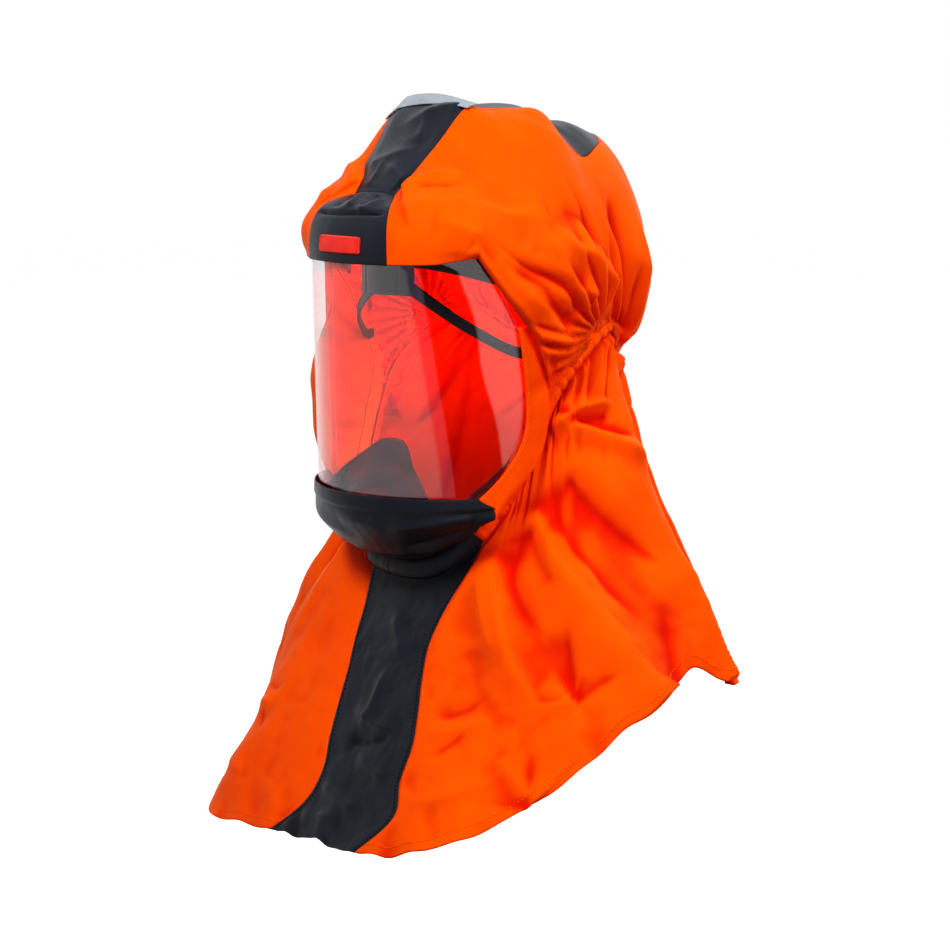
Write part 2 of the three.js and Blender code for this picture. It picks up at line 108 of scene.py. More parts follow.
# Distance walked along each grid line from its first point: axis 0 for u, axis 1 for v
def walked(points, axis):
    step = np.linalg.norm(np.diff(points, axis=axis), axis=-1)
    start = np.zeros_like(np.take(points[..., 0], [0], axis=axis))
    return np.concatenate([start, np.cumsum(step, axis=axis)], axis=axis)


# The same distance, from the last point of each line
def walkedBack(points, axis):
    return np.flip(walked(np.flip(points, axis), axis), axis)


# 0 along the sewn edges and 1 further off than their widths: a smooth step of the distance from each edge
def sewnHold(points, widths):
    hold = 1.0
    for edge, width in widths.items():
        distance = walkedBack if edge in ("rear", "foot") else walked
        hold = hold * ease(0, width, distance(points, 0 if edge in ("front", "rear") else 1))
    return hold


# Points moved along their normals, each by its own height
def pushed(points, normals, lift):
    return points + normals * lift[..., None]


waveSizes = {"count": 20, "lengths": (0.7, 1.5), "height": 0.7}


# Random field: the sum of plane waves of about one wavelength with random ways and phases, about -1 to 1
def waves(points, wavelength, seed):
    r = np.random.default_rng(seed)
    count = waveSizes["count"]
    number = 2 * np.pi / (wavelength * r.uniform(*waveSizes["lengths"], count))
    direction = unit(r.normal(size=(count, 3))) * number[:, None]
    total = np.sin(points @ direction.T + r.uniform(0, 2 * np.pi, count)).sum(-1)
    return total / math.sqrt(count / 2) * waveSizes["height"]


crumpleSizes = {
    "count": 7, "lengths": (0.8, 1.8), "round": 0.015,
    "bend": 0.3, "bendLength": 3, "bendSeed": 31,  # creases wander
    "shown": (-0.2, 0.8), "shownLength": 2.4, "shownSeed": 57,  # and come and go
}


# Crisp facets: triangle waves along random directions, each let in and out by a slow random field
def crumple(points, size, seed):
    s = crumpleSizes
    r = np.random.default_rng(seed)
    total = np.zeros(points.shape[:-1])
    for k in range(s["count"]):
        phase = points @ unit(r.normal(size=3)) / (size * r.uniform(*s["lengths"])) + r.uniform(0, 1)
        phase = phase + s["bend"] * waves(points, size * s["bendLength"], seed * s["bendSeed"] + k)
        crease = np.sqrt((phase % 1 * 2 - 1) ** 2 + s["round"])
        shown = waves(points, size * s["shownLength"], seed * s["shownSeed"] + k)
        total = total + (crease - 0.5) * ease(*s["shown"], shown)
    return total / math.sqrt(s["count"])


# Facets and finer crinkles of a piece: height times crumple, at each of its two sizes
def crinkled(points, sizes, seed):
    (facet, facetSize), (crinkle, crinkleSize) = sizes["facets"], sizes["crinkles"]
    return facet * crumple(points, facetSize, seed) + crinkle * crumple(points, crinkleSize, seed + 1)


foldSizes = {"steps": 130, "peak": 0.25, "round": 0.06, "over": 0.02, "leastFade": 0.001}


# A fold follows a line of the plain surface from (fromU, fromV) to (toU, toV), bowed in v. Its height is
# depth * exp(peak - sqrt(x^2 + round)) with x = distance / width: a sharp crest with hollow flanks.
# skew widens one flank and narrows the other; the height runs out over fadeIn and fadeOut at the ends.
def foldField(surface, points, normals, rows):
    total = np.zeros(points.shape[:-1])
    s = np.linspace(0, 1, foldSizes["steps"])
    over, least = foldSizes["over"], foldSizes["leastFade"]
    for fromU, fromV, toU, toV, bow, width, depth, skew, fadeIn, fadeOut in rows:
        line = surface(lerp(fromU, toU, s), lerp(fromV, toV, s) + bow * 4 * s * (1 - s))
        tangent = unit(np.gradient(line, axis=0))
        length = np.linalg.norm(np.diff(line, axis=0), axis=1).sum()
        square = (points**2).sum(-1)[..., None] + (line**2).sum(-1) - 2 * points @ line.T
        near = np.argmin(square, axis=-1)
        away = points - line[near]
        along = (away * tangent[near]).sum(-1)
        across = away - along[..., None] * tangent[near]
        side = np.sign((np.cross(tangent[near], across) * normals).sum(-1))
        x = np.linalg.norm(across, axis=-1) / (width * np.where(side > 0, skew, 1 / skew))
        place = s[near] + along / length
        taper = ease(-over, max(fadeIn, least), place) * (1 - ease(1 - max(fadeOut, least), 1 + over, place))
        total = total + depth * taper * np.exp(foldSizes["peak"] - np.sqrt(x * x + foldSizes["round"]))
    return total


# Soft pillows: a Gaussian bump at (a, b) of spread (da, db) for every row
def pillows(onA, onB, rows):
    table = np.array(rows, float)
    a, b, da, db, high = (table[:, k] for k in range(5))
    return (high * np.exp(-(((onA[..., None] - a) / da) ** 2) - ((onB[..., None] - b) / db) ** 2)).sum(-1)


lobeSizes = {
    "power": 0.7, "middle": 0.45, "fade": 1.2, "wander": (0.38, 0.3), "wanderRate": (1.7, 0.61),
    "uneven": 0.28, "unevenRate": 0.83,
    "farPower": 0.8, "farMiddle": 0.5, "farRate": 0.43, "farStart": 0.2, "farReach": 2.8, "farShare": 0.9,
}


# Rounded lobes with sharp valleys: |sin|^power of a phase that counts lobes, less their middle height
def lobes(phase, power, middle):
    return np.abs(np.sin(np.pi * phase)) ** power - middle


# Gathered cloth: lobes of an uneven phase along the gathered edge, dying away with the distance from it;
# they join in twos further off
def ruffles(along, away, pitch, height, reach, seed):
    s = lobeSizes
    a, b, c = np.random.default_rng(seed).uniform(0, 2 * np.pi, 3)
    step = along / pitch
    phase = step
    for wander, rate, start in zip(s["wander"], s["wanderRate"], (a, b)):
        phase = phase + wander * np.sin(step * rate + start)
    near = lobes(phase, s["power"], s["middle"])
    far = lobes(phase * s["farRate"] + s["farStart"], s["farPower"], s["farMiddle"])
    uneven = 1 - s["uneven"] + s["uneven"] * np.sin(step * s["unevenRate"] + c)
    close, wide = np.exp(-((away / reach) ** s["fade"])), bell(away / (reach * s["farReach"]))
    return height * uneven * (near * close + s["farShare"] * far * wide)


# Mean of the values within a number of cells to both sides along an axis
def blurred(values, cells, axis):
    pad = [(0, 0)] * values.ndim
    pad[axis] = (cells + 1, cells)
    total = np.cumsum(np.pad(values, pad, mode="edge"), axis=axis)
    count, span = values.shape[axis], 2 * cells + 1
    return (np.take(total, range(span, span + count), axis) - np.take(total, range(count), axis)) / span


creaseScales = [(5, 1.4), (14, 4.5), (30, 9.0)]  # reach of the neighbourhood and the depth of a full crease, which takes the full painted shade


# How far a point lies in a crease or recess, from 0 to 1, which sets how much painted shade it gets: its
# depth under the mean of its neighbourhood, at each scale
def creaseShare(points, centre):
    normals = normalsOf(points, centre)
    flat = 1.0
    for reach, full in creaseScales:
        mean = points
        for axis in (0, 1):
            cell = np.linalg.norm(np.diff(points, axis=axis), axis=-1).mean()
            mean = blurred(mean, min(max(int(round(reach / cell)), 1), points.shape[axis] // 2), axis)
        flat = flat * (1 - np.clip(((mean - points) * normals).sum(-1) / full, 0, 1))
    return 1 - flat


# Puts a grid of points into a mesh, faces outwards, with a UV map in metres of cloth and its creases as a
# mask for painted shade; faces that touch a point marked in hole are left out
def gridMesh(name, points, centre, hole=None):
    n, m = points.shape[:2]
    ids = np.arange(n * m).reshape(n, m)
    quads = np.stack([ids[:-1, :-1], ids[1:, :-1], ids[1:, 1:], ids[:-1, 1:]], -1).reshape(-1, 4)
    turned = np.cross(np.gradient(points, axis=0), np.gradient(points, axis=1))
    if np.sum(turned * (points - centre)) < 0:
        quads = quads[:, ::-1]
    if hole is not None:
        quads = quads[~hole.ravel()[quads].any(1)]
    used, quads = np.unique(quads, return_inverse=True)
    quads = quads.reshape(-1, 4)
    mesh = bpy.data.meshes.new(name)
    mesh.from_pydata(points.reshape(-1, 3)[used] * mm, [], quads)
    mesh.polygons.foreach_set("use_smooth", np.ones(len(quads), bool))
    uv = np.stack([walked(points, 0), walked(points, 1)], -1).reshape(-1, 2)[used] * mm
    mesh.uv_layers.new(name="cloth").data.foreach_set("uv", uv[quads.ravel()].ravel())
    # The crease attribute is the mask for painted shade in creases and recesses
    crease = mesh.attributes.new("crease", "FLOAT", "POINT")
    crease.data.foreach_set("value", creaseShare(points, centre).ravel()[used])
    mesh.update()
    return mesh


# Makes the object of a piece: it rides on the root, takes its finish and stands for its nodes
def addPiece(name, mesh, finish, nodes=(), thickness=0):
    material, slot = finish
    piece = bpy.data.objects.new(name, mesh)
    bpy.context.scene.collection.objects.link(piece)
    mesh.materials.append(material)
    if thickness:
        wall = piece.modifiers.new("wall", "SOLIDIFY")
        wall.thickness = thickness * mm
        wall.offset = -1
    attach(piece, "root")
    if nodes:
        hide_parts(*nodes)
    return piece


# A grid of points made straight into a piece that stands for one node
def addSheet(name, points, centre, finish, nodeName, thickness, hole=None):
    return addPiece(name, gridMesh(name, points, centre, hole), finish, [nodeName], thickness)


# A node of a material, with its plain values set
def node(tree, kind, **values):
    made = tree.nodes.new("ShaderNode" + kind)
    for key, value in values.items():
        if hasattr(made, key):
            setattr(made, key, value)
        else:
            made.inputs[key.replace("_", " ")].default_value = value
    return made


# A Math node on two or three inputs, each a number or an output of another node
def math3(tree, operation, *values):
    made = tree.nodes.new("ShaderNodeMath")
    made.operation = operation
    for socket, value in zip(made.inputs, values):
        if isinstance(value, (int, float)):
            socket.default_value = value
        else:
            tree.links.new(value, socket)
    return made.outputs[0]


# A Mix node between two colours, each three numbers or an output of another node
def mixColour(tree, share, first, second):
    made = tree.nodes.new("ShaderNodeMix")
    made.data_type = "RGBA"
    tree.links.new(share, made.inputs["Factor"])
    for socket, value in zip([i for i in made.inputs if i.type == "RGBA"], (first, second)):
        if isinstance(value, tuple):
            socket.default_value = (*value, 1)
        else:
            tree.links.new(value, socket)
    return next(o for o in made.outputs if o.type == "RGBA")


# An empty node material, with its tree and the tree's link call
def newMaterial(name):
    material = bpy.data.materials.new(name)
    material.use_nodes = True
    tree = material.node_tree
    tree.nodes.clear()
    return material, tree, tree.links.new


# Camera at the photograph's angle
cameraSizes = {
    "azimuth": 47, "elevation": 10, "distance": 1.75, "lens": 86, "target": (-0.0095, -0.0104, -0.161),
}


# Unit vector to an azimuth and elevation in degrees; azimuth 0 is the way the face looks
def wayTo(azimuth, elevation):
    a, e = math.radians(azimuth), math.radians(elevation)
    return Vector((math.sin(a) * math.cos(e), -math.cos(a) * math.cos(e), math.sin(e)))


back = wayTo(cameraSizes["azimuth"], cameraSizes["elevation"])
cameraData = bpy.data.cameras.new("camera")
cameraData.lens = cameraSizes["lens"]
cameraData.sensor_width = 36
camera = bpy.data.objects.new("camera", cameraData)
camera.location = Vector(cameraSizes["target"]) + back * cameraSizes["distance"]
camera.rotation_euler = (-back).to_track_quat("-Z", "Y").to_euler()
bpy.context.scene.collection.objects.link(camera)
bpy.context.scene.camera = camera

# Plain soft studio: pale room, a main light at the viewer's left, a weaker one at the right and one behind
studio = {
    "room": 0.15,
    "veil": 0.95,  # how bright the room looks in gloss
    "veilLeft": (21, 5.6), "veilRight": (49, 9.4),  # edges of the unlit part: azimuth at the level, lean
    "veilLevel": 5.4, "veilTop": 3.0, "veilFoot": 13.0,  # degrees down; the edges lean from top to foot
    "leftSoft": 1.0, "bandSoft": 1.5, "rightSoft": 1.5,
    "veilBand": 12, "bandTone": (0.52, 0.45, 0.6), "rightTone": 1.15,
    "aim": (0, 0, -0.16),
    "lights": {  # azimuth, elevation, distance, size, power
        "keyLight": (10, 48, 1.9, 0.5, 34),
        "sideLight": (86, 30, 2.2, 0.8, 33),
        "backLight": (165, 30, 2.2, 1.0, 22),
    },
    "innerLights": [  # place, power: orange light thrown about inside the hood
        ((0.01, -0.02, -0.02), 0.33), ((0.02, -0.02, -0.1), 0.4),
    ],
    "innerTone": (1.0, 0.22, 0.08), "innerSize": 0.02,
    "contrast": [(0.012, 0.004), (0.03, 0.012), (0.06, 0.036), (0.1, 0.085), (0.16, 0.16)],
    "floorZ": -0.78, "floorHalf": 40, "floorTone": (0.9, 0.9, 0.9, 1), "floorRough": 0.9, "floorGlow": 0.8,
}


# World: even white for all but gloss. Gloss sees a bright room with an unlit part round the camera, between
# two leaning edges: azimuth - lean * (degrees down - level) is compared with each edge's azimuth.
def makeWorld(sizes):
    world = bpy.data.worlds.new("studio")
    world.use_nodes = True
    tree = world.node_tree
    tree.nodes.clear()
    link = tree.links.new
    split = node(tree, "SeparateXYZ")
    link(node(tree, "TexCoord").outputs["Generated"], split.inputs[0])
    minusY = math3(tree, "MULTIPLY", split.outputs["Y"], -1.0)
    turn = math3(tree, "MULTIPLY", math3(tree, "ARCTAN2", split.outputs["X"], minusY), 180 / math.pi)
    down = math3(tree, "MULTIPLY", math3(tree, "ARCSINE", split.outputs["Z"]), -180 / math.pi)
    down = math3(tree, "MINIMUM", math3(tree, "MAXIMUM", down, sizes["veilTop"]), sizes["veilFoot"])
    below = math3(tree, "SUBTRACT", down, sizes["veilLevel"])

    def edge(azimuth, lean, soft, fromValue, toValue):
        placed = math3(tree, "MULTIPLY_ADD", below, -lean, turn)
        share = node(tree, "MapRange", From_Min=azimuth - soft, From_Max=azimuth + soft)
        share.inputs["To Min"].default_value = fromValue
        share.inputs["To Max"].default_value = toValue
        link(placed, share.inputs["Value"])
        return share.outputs[0]

    leftAt, leftLean = sizes["veilLeft"]
    left = edge(leftAt, leftLean, sizes["leftSoft"], 1.0, 0.0)
    inBand = edge(leftAt - sizes["veilBand"], leftLean, sizes["bandSoft"], 0.0, 1.0)
    right = edge(*sizes["veilRight"], sizes["rightSoft"], 0.0, sizes["rightTone"])
    leftTone = node(tree, "VectorMath", operation="SCALE")
    link(mixColour(tree, inBand, (1, 1, 1), sizes["bandTone"]), leftTone.inputs[0])
    link(left, leftTone.inputs["Scale"])
    total = node(tree, "VectorMath", operation="ADD")
    link(leftTone.outputs[0], total.inputs[0])
    link(right, total.inputs[1])
    glossy = node(tree, "Background", Strength=sizes["veil"])
    link(total.outputs[0], glossy.inputs[0])
    plain = node(tree, "Background", Color=(1, 1, 1, 1), Strength=sizes["room"])
    white = node(tree, "Background", Color=(1, 1, 1, 1), Strength=1.0)
    rays = node(tree, "LightPath")
    shown = plain
    for ray, other in (("Is Glossy Ray", glossy), ("Is Camera Ray", white)):
        mix = node(tree, "MixShader")
        link(rays.outputs[ray], mix.inputs[0])
        link(shown.outputs[0], mix.inputs[1])
        link(other.outputs[0], mix.inputs[2])
        shown = mix
    link(shown.outputs[0], node(tree, "OutputWorld").inputs[0])
    bpy.context.scene.world = world


# A lamp that shows neither to the camera nor in gloss
def addLight(name, kind, place, power, size):
    lamp = bpy.data.lights.new(name, kind)
    lamp.energy = power
    lampObject = bpy.data.objects.new(name, lamp)
    lampObject.location = place
    lampObject.visible_glossy = False
    lampObject.visible_camera = False
    bpy.context.scene.collection.objects.link(lampObject)
    if kind == "AREA":
        lamp.size = size
    else:
        lamp.shadow_soft_size = size
    return lampObject


makeWorld(studio)
for lightName, (azimuth, elevation, distance, size, power) in studio["lights"].items():
    way = wayTo(azimuth, elevation)
    lampObject = addLight(lightName, "AREA", Vector(studio["aim"]) + way * distance, power, size)
    lampObject.rotation_euler = (-way).to_track_quat("-Z", "Y").to_euler()
for k, (place, power) in enumerate(studio["innerLights"]):
    addLight(f"innerLight{k}", "POINT", place, power, studio["innerSize"]).data.color = studio["innerTone"]

# Standard view with a little more depth in the darks
view = bpy.context.scene.view_settings
view.view_transform = "Standard"
view.use_curve_mapping = True
toneCurve = view.curve_mapping.curves[3]
for darkIn, darkOut in studio["contrast"]:
    toneCurve.points.new(darkIn, darkOut).handle_type = "VECTOR"
view.curve_mapping.update()

floorMesh = bpy.data.meshes.new("floor")
floorCorners = np.array([[-1, -1, 0], [1, -1, 0], [1, 1, 0], [-1, 1, 0]]) * studio["floorHalf"]
floorCorners = floorCorners + [0, 0, studio["floorZ"]]
floorMesh.from_pydata(floorCorners, [], [[0, 1, 2, 3]])
floor = bpy.data.objects.new("floor", floorMesh)
bpy.context.scene.collection.objects.link(floor)
floor.visible_diffuse = False  # no bounce from below
floor.visible_glossy = False
floorPaint, floorTree, link = newMaterial("paleFloor")
floorBsdf = node(floorTree, "BsdfPrincipled", Base_Color=studio["floorTone"], Roughness=studio["floorRough"])
floorGlow = node(floorTree, "Emission", Color=(1, 1, 1, 1), Strength=studio["floorGlow"])
floorSum = node(floorTree, "AddShader")
link(floorBsdf.outputs[0], floorSum.inputs[0])
link(floorGlow.outputs[0], floorSum.inputs[1])
link(floorSum.outputs[0], node(floorTree, "OutputMaterial").inputs[0])
floorMesh.materials.append(floorPaint)
print("camera and studio set")


# What all cloths share: where their two tones stop, the depth of their bumps, how far their roughness varies
clothSizes = {
    "toneStops": (0.32, 0.68), "weaveDepth": 0.0003, "crinkleDepth": 0.002, "smoother": 0.06, "rougher": 0.08,
    "sheenRoughness": 0.45,
}


# Woven cloth: base colour between two tones by noise, with painted shade that darkens it in its creases and
# recesses, roughness by noise, and a bump of threads (two crossed wave bands of the cloth's UV map) over
# small crinkles (noise of the place)
def clothMaterial(name, sizes):
    material, tree, link = newMaterial(name)
    place = node(tree, "TexCoord")
    tone = node(tree, "TexNoise", Scale=sizes["toneScale"], Detail=5.0, Roughness=0.6)
    link(place.outputs["Object"], tone.inputs["Vector"])
    toneMix = node(tree, "ValToRGB")
    for stop, position, tint in zip(toneMix.color_ramp.elements, clothSizes["toneStops"], ("dark", "light")):
        stop.position = position
        stop.color = (*sizes[tint], 1)
    link(tone.outputs["Fac"], toneMix.inputs[0])
    # Painted shade: the crease attribute mixes the base colour towards the creaseShade colour in creases and
    # recesses
    crease = node(tree, "Attribute", attribute_name="crease")
    colour = mixColour(tree, crease.outputs["Fac"], toneMix.outputs[0], sizes["creaseShade"])
    threads = node(tree, "Math", operation="MAXIMUM")
    for k, way in enumerate("XY"):
        band = node(tree, "TexWave", Scale=sizes["threads"], Distortion=0.6, Detail=1.0)
        band.bands_direction = way
        link(place.outputs["UV"], band.inputs["Vector"])
        link(band.outputs["Fac"], threads.inputs[k])
    crinkle = node(tree, "TexNoise", Scale=sizes["crinkleScale"], Detail=6.0, Roughness=0.55, Distortion=0.4)
    link(place.outputs["Object"], crinkle.inputs["Vector"])
    weaveBump = node(tree, "Bump", Strength=sizes["weaveBump"], Distance=clothSizes["weaveDepth"])
    link(threads.outputs[0], weaveBump.inputs["Height"])
    crinkleBump = node(tree, "Bump", Strength=sizes["crinkleBump"], Distance=clothSizes["crinkleDepth"])
    link(crinkle.outputs["Fac"], crinkleBump.inputs["Height"])
    link(weaveBump.outputs[0], crinkleBump.inputs["Normal"])
    rough = node(tree, "MapRange", To_Min=sizes["roughness"] - clothSizes["smoother"])
    rough.inputs["To Max"].default_value = sizes["roughness"] + clothSizes["rougher"]
    link(crinkle.outputs["Fac"], rough.inputs["Value"])
    bsdf = node(tree, "BsdfPrincipled", Specular_IOR_Level=sizes["specular"], Sheen_Weight=sizes["sheen"])
    bsdf.inputs["Sheen Roughness"].default_value = clothSizes["sheenRoughness"]
    bsdf.inputs["Sheen Tint"].default_value = (*sizes["sheenTint"], 1)
    link(colour, bsdf.inputs["Base Color"])
    link(rough.outputs[0], bsdf.inputs["Roughness"])
    link(crinkleBump.outputs[0], bsdf.inputs["Normal"])
    shown = bsdf
    if sizes["letThrough"]:
        through = node(tree, "BsdfTranslucent")
        link(colour, through.inputs["Color"])
        shown = node(tree, "MixShader", Fac=sizes["letThrough"])
        link(bsdf.outputs[0], shown.inputs[1])
        link(through.outputs[0], shown.inputs[2])
    link(shown.outputs[0], node(tree, "OutputMaterial").inputs[0])
    return material


# Each cloth's creaseShade (formerly deep) is the colour of its painted shade in creases and recesses
orangeCloth = clothMaterial("orangeCloth", {
    "dark": (0.9, 0.077, 0.0), "light": (0.97, 0.092, 0.0), "creaseShade": (0.64, 0.012, 0.0), "toneScale": 14.0,
    "threads": 520.0, "weaveBump": 0.12, "crinkleScale": 70.0, "crinkleBump": 0.12, "roughness": 0.5,
    "specular": 0.12, "sheen": 0.05, "sheenTint": (1.0, 0.5, 0.2), "letThrough": 0.07,
})
blackCloth = clothMaterial("blackCloth", {
    "dark": (0.0112, 0.0124, 0.0166), "light": (0.0166, 0.0182, 0.0243), "creaseShade": (0.004, 0.004, 0.006),
    "toneScale": 18.0, "threads": 520.0, "weaveBump": 0.15, "crinkleScale": 80.0, "crinkleBump": 0.16,
    "roughness": 0.38, "specular": 0.23, "sheen": 0.03, "sheenTint": (0.7, 0.8, 1.0), "letThrough": 0.0,
})
greyTape = clothMaterial("greyTape", {
    "dark": (0.24, 0.27, 0.31), "light": (0.3, 0.335, 0.375), "creaseShade": (0.14, 0.16, 0.19), "toneScale": 60.0,
    "threads": 300.0, "weaveBump": 0.4, "crinkleScale": 120.0, "crinkleBump": 0.1, "roughness": 0.5,
    "specular": 0.4, "sheen": 0.1, "sheenTint": (1.0, 1.0, 1.0), "letThrough": 0.0,
})
redLabel = clothMaterial("redLabel", {
    "dark": (0.66, 0.028, 0.02), "light": (0.78, 0.04, 0.03), "creaseShade": (0.4, 0.012, 0.01), "toneScale": 90.0,
    "threads": 420.0, "weaveBump": 0.35, "crinkleScale": 150.0, "crinkleBump": 0.08, "roughness": 0.5,
    "specular": 0.3, "sheen": 0.1, "sheenTint": (1.0, 0.8, 0.8), "letThrough": 0.0,
})


plainSizes = {"darker": 0.8, "lighter": 1.2, "reliefDepth": 0.0004, "specular": 0.3}


# Thread or moulded plastic: one tone with a little noise in its colour and bump
def plainMaterial(name, colour, roughness, grain, bump):
    material, tree, link = newMaterial(name)
    noise = node(tree, "TexNoise", Scale=grain, Detail=4.0)
    link(node(tree, "TexCoord").outputs["Object"], noise.inputs["Vector"])
    ramp = node(tree, "ValToRGB")
    ramp.color_ramp.elements[0].color = (*[c * plainSizes["darker"] for c in colour], 1)
    ramp.color_ramp.elements[1].color = (*[min(c * plainSizes["lighter"], 1) for c in colour], 1)
    link(noise.outputs["Fac"], ramp.inputs[0])
    relief = node(tree, "Bump", Strength=bump, Distance=plainSizes["reliefDepth"])
    link(noise.outputs["Fac"], relief.inputs["Height"])
    bsdf = node(tree, "BsdfPrincipled", Roughness=roughness, Specular_IOR_Level=plainSizes["specular"])
    link(ramp.outputs[0], bsdf.inputs["Base Color"])
    link(relief.outputs[0], bsdf.inputs["Normal"])
    link(bsdf.outputs[0], node(tree, "OutputMaterial").inputs[0])
    return material


threadFinish = {"roughness": 0.6, "grain": 900, "bump": 0.3}
orangeThread = plainMaterial("orangeThread", (0.9, 0.11, 0.008), **threadFinish)
redThread = plainMaterial("redThread", (0.75, 0.07, 0.05), **threadFinish)
blackThread = plainMaterial("blackThread", (0.01, 0.01, 0.013), **threadFinish)
blackPlastic = plainMaterial("blackPlastic", (0.014, 0.015, 0.018), roughness=0.42, grain=700, bump=0.12)

clearSizes = {
    "tint": (0.985, 0.985, 0.99, 1), "roughness": 0.015, "straight": 0.045, "steep": 0.955, "power": 5.0,
}


# Clear sheet: light goes through unbent, with gloss straight + steep (1 - cosine)^power on each face
def clearMaterial(name, sizes):
    material, tree, link = newMaterial(name)
    through = node(tree, "BsdfTransparent", Color=sizes["tint"])
    gloss = node(tree, "BsdfGlossy", Color=(1, 1, 1, 1), Roughness=sizes["roughness"])
    facing = node(tree, "LayerWeight", Blend=0.5)
    slant = math3(tree, "POWER", facing.outputs["Facing"], sizes["power"])
    mix = node(tree, "MixShader")
    link(math3(tree, "MULTIPLY_ADD", slant, sizes["steep"], sizes["straight"]), mix.inputs[0])
    link(through.outputs[0], mix.inputs[1])
    link(gloss.outputs[0], mix.inputs[2])
    link(mix.outputs[0], node(tree, "OutputMaterial").inputs[0])
    return material


clearSheet = clearMaterial("clearSheet", clearSizes)

# Finishes: a material and the record's slot that it belongs to
orange, orangeSewing = (orangeCloth, "orange_cloth"), (orangeThread, "orange_cloth")
black, blackSewing = (blackCloth, "black_cloth"), (blackThread, "black_cloth")
red, redSewing = (redLabel, "red_label"), (redThread, "red_label")
grey, clear, plastic = (greyTape, "grey_tape"), (clearSheet, "clear_sheet"), (blackPlastic, "black_plastic")
print("materials made")

# Visor: a flat sheet bent round to half a drum, straight at its ends
visorSizes = {
    "radius": 95, "centreY": -55, "brow": 11, "taper": 0.02, "thickness": 1.0, "rightHalf": 118,
    "grid": (96, 56), "ripple": 0.04, "rippleLength": 70, "seed": 3,
    "outline": [  # height, half width
        [20, 114], [-12, 127], [-48, 147], [-80, 150], [-110, 149], [-138, 132], [-164, 108],
    ],
}


# w along the flat sheet from its middle and a height give a point of the bent sheet
def visorPoint(w, height, out=0):
    radius = visorSizes["radius"] - np.maximum(visorSizes["brow"] - height, 0) * visorSizes["taper"] + out
    quarter = visorSizes["radius"] * math.pi / 2
    past = np.maximum(np.abs(w) - quarter, 0)
    angle = np.sign(w) * np.minimum(np.abs(w), quarter) / visorSizes["radius"]
    y = visorSizes["centreY"] - radius * np.cos(angle) + past
    return np.stack([radius * np.sin(angle), y, height + 0 * w], -1)


# The sheet's half width is straight between the rows of its outline; the right half ends further forward
def visorSurface(u, v):
    rows = np.array(visorSizes["outline"], float)
    height = lerp(rows[0, 0], rows[-1, 0], v)
    left = np.interp(-height, -rows[:, 0], rows[:, 1])
    return visorPoint(lerp(-np.minimum(left, visorSizes["rightHalf"]), left, u), height)


points = visorSurface(*gridOf(*visorSizes["grid"]))
ripple = visorSizes["ripple"] * waves(points, visorSizes["rippleLength"], visorSizes["seed"])
points = pushed(points, normalsOf(points, faceCentre), ripple)
addSheet("visorSheet", points, faceCentre, clear, "visor", visorSizes["thickness"])
print("visor made")

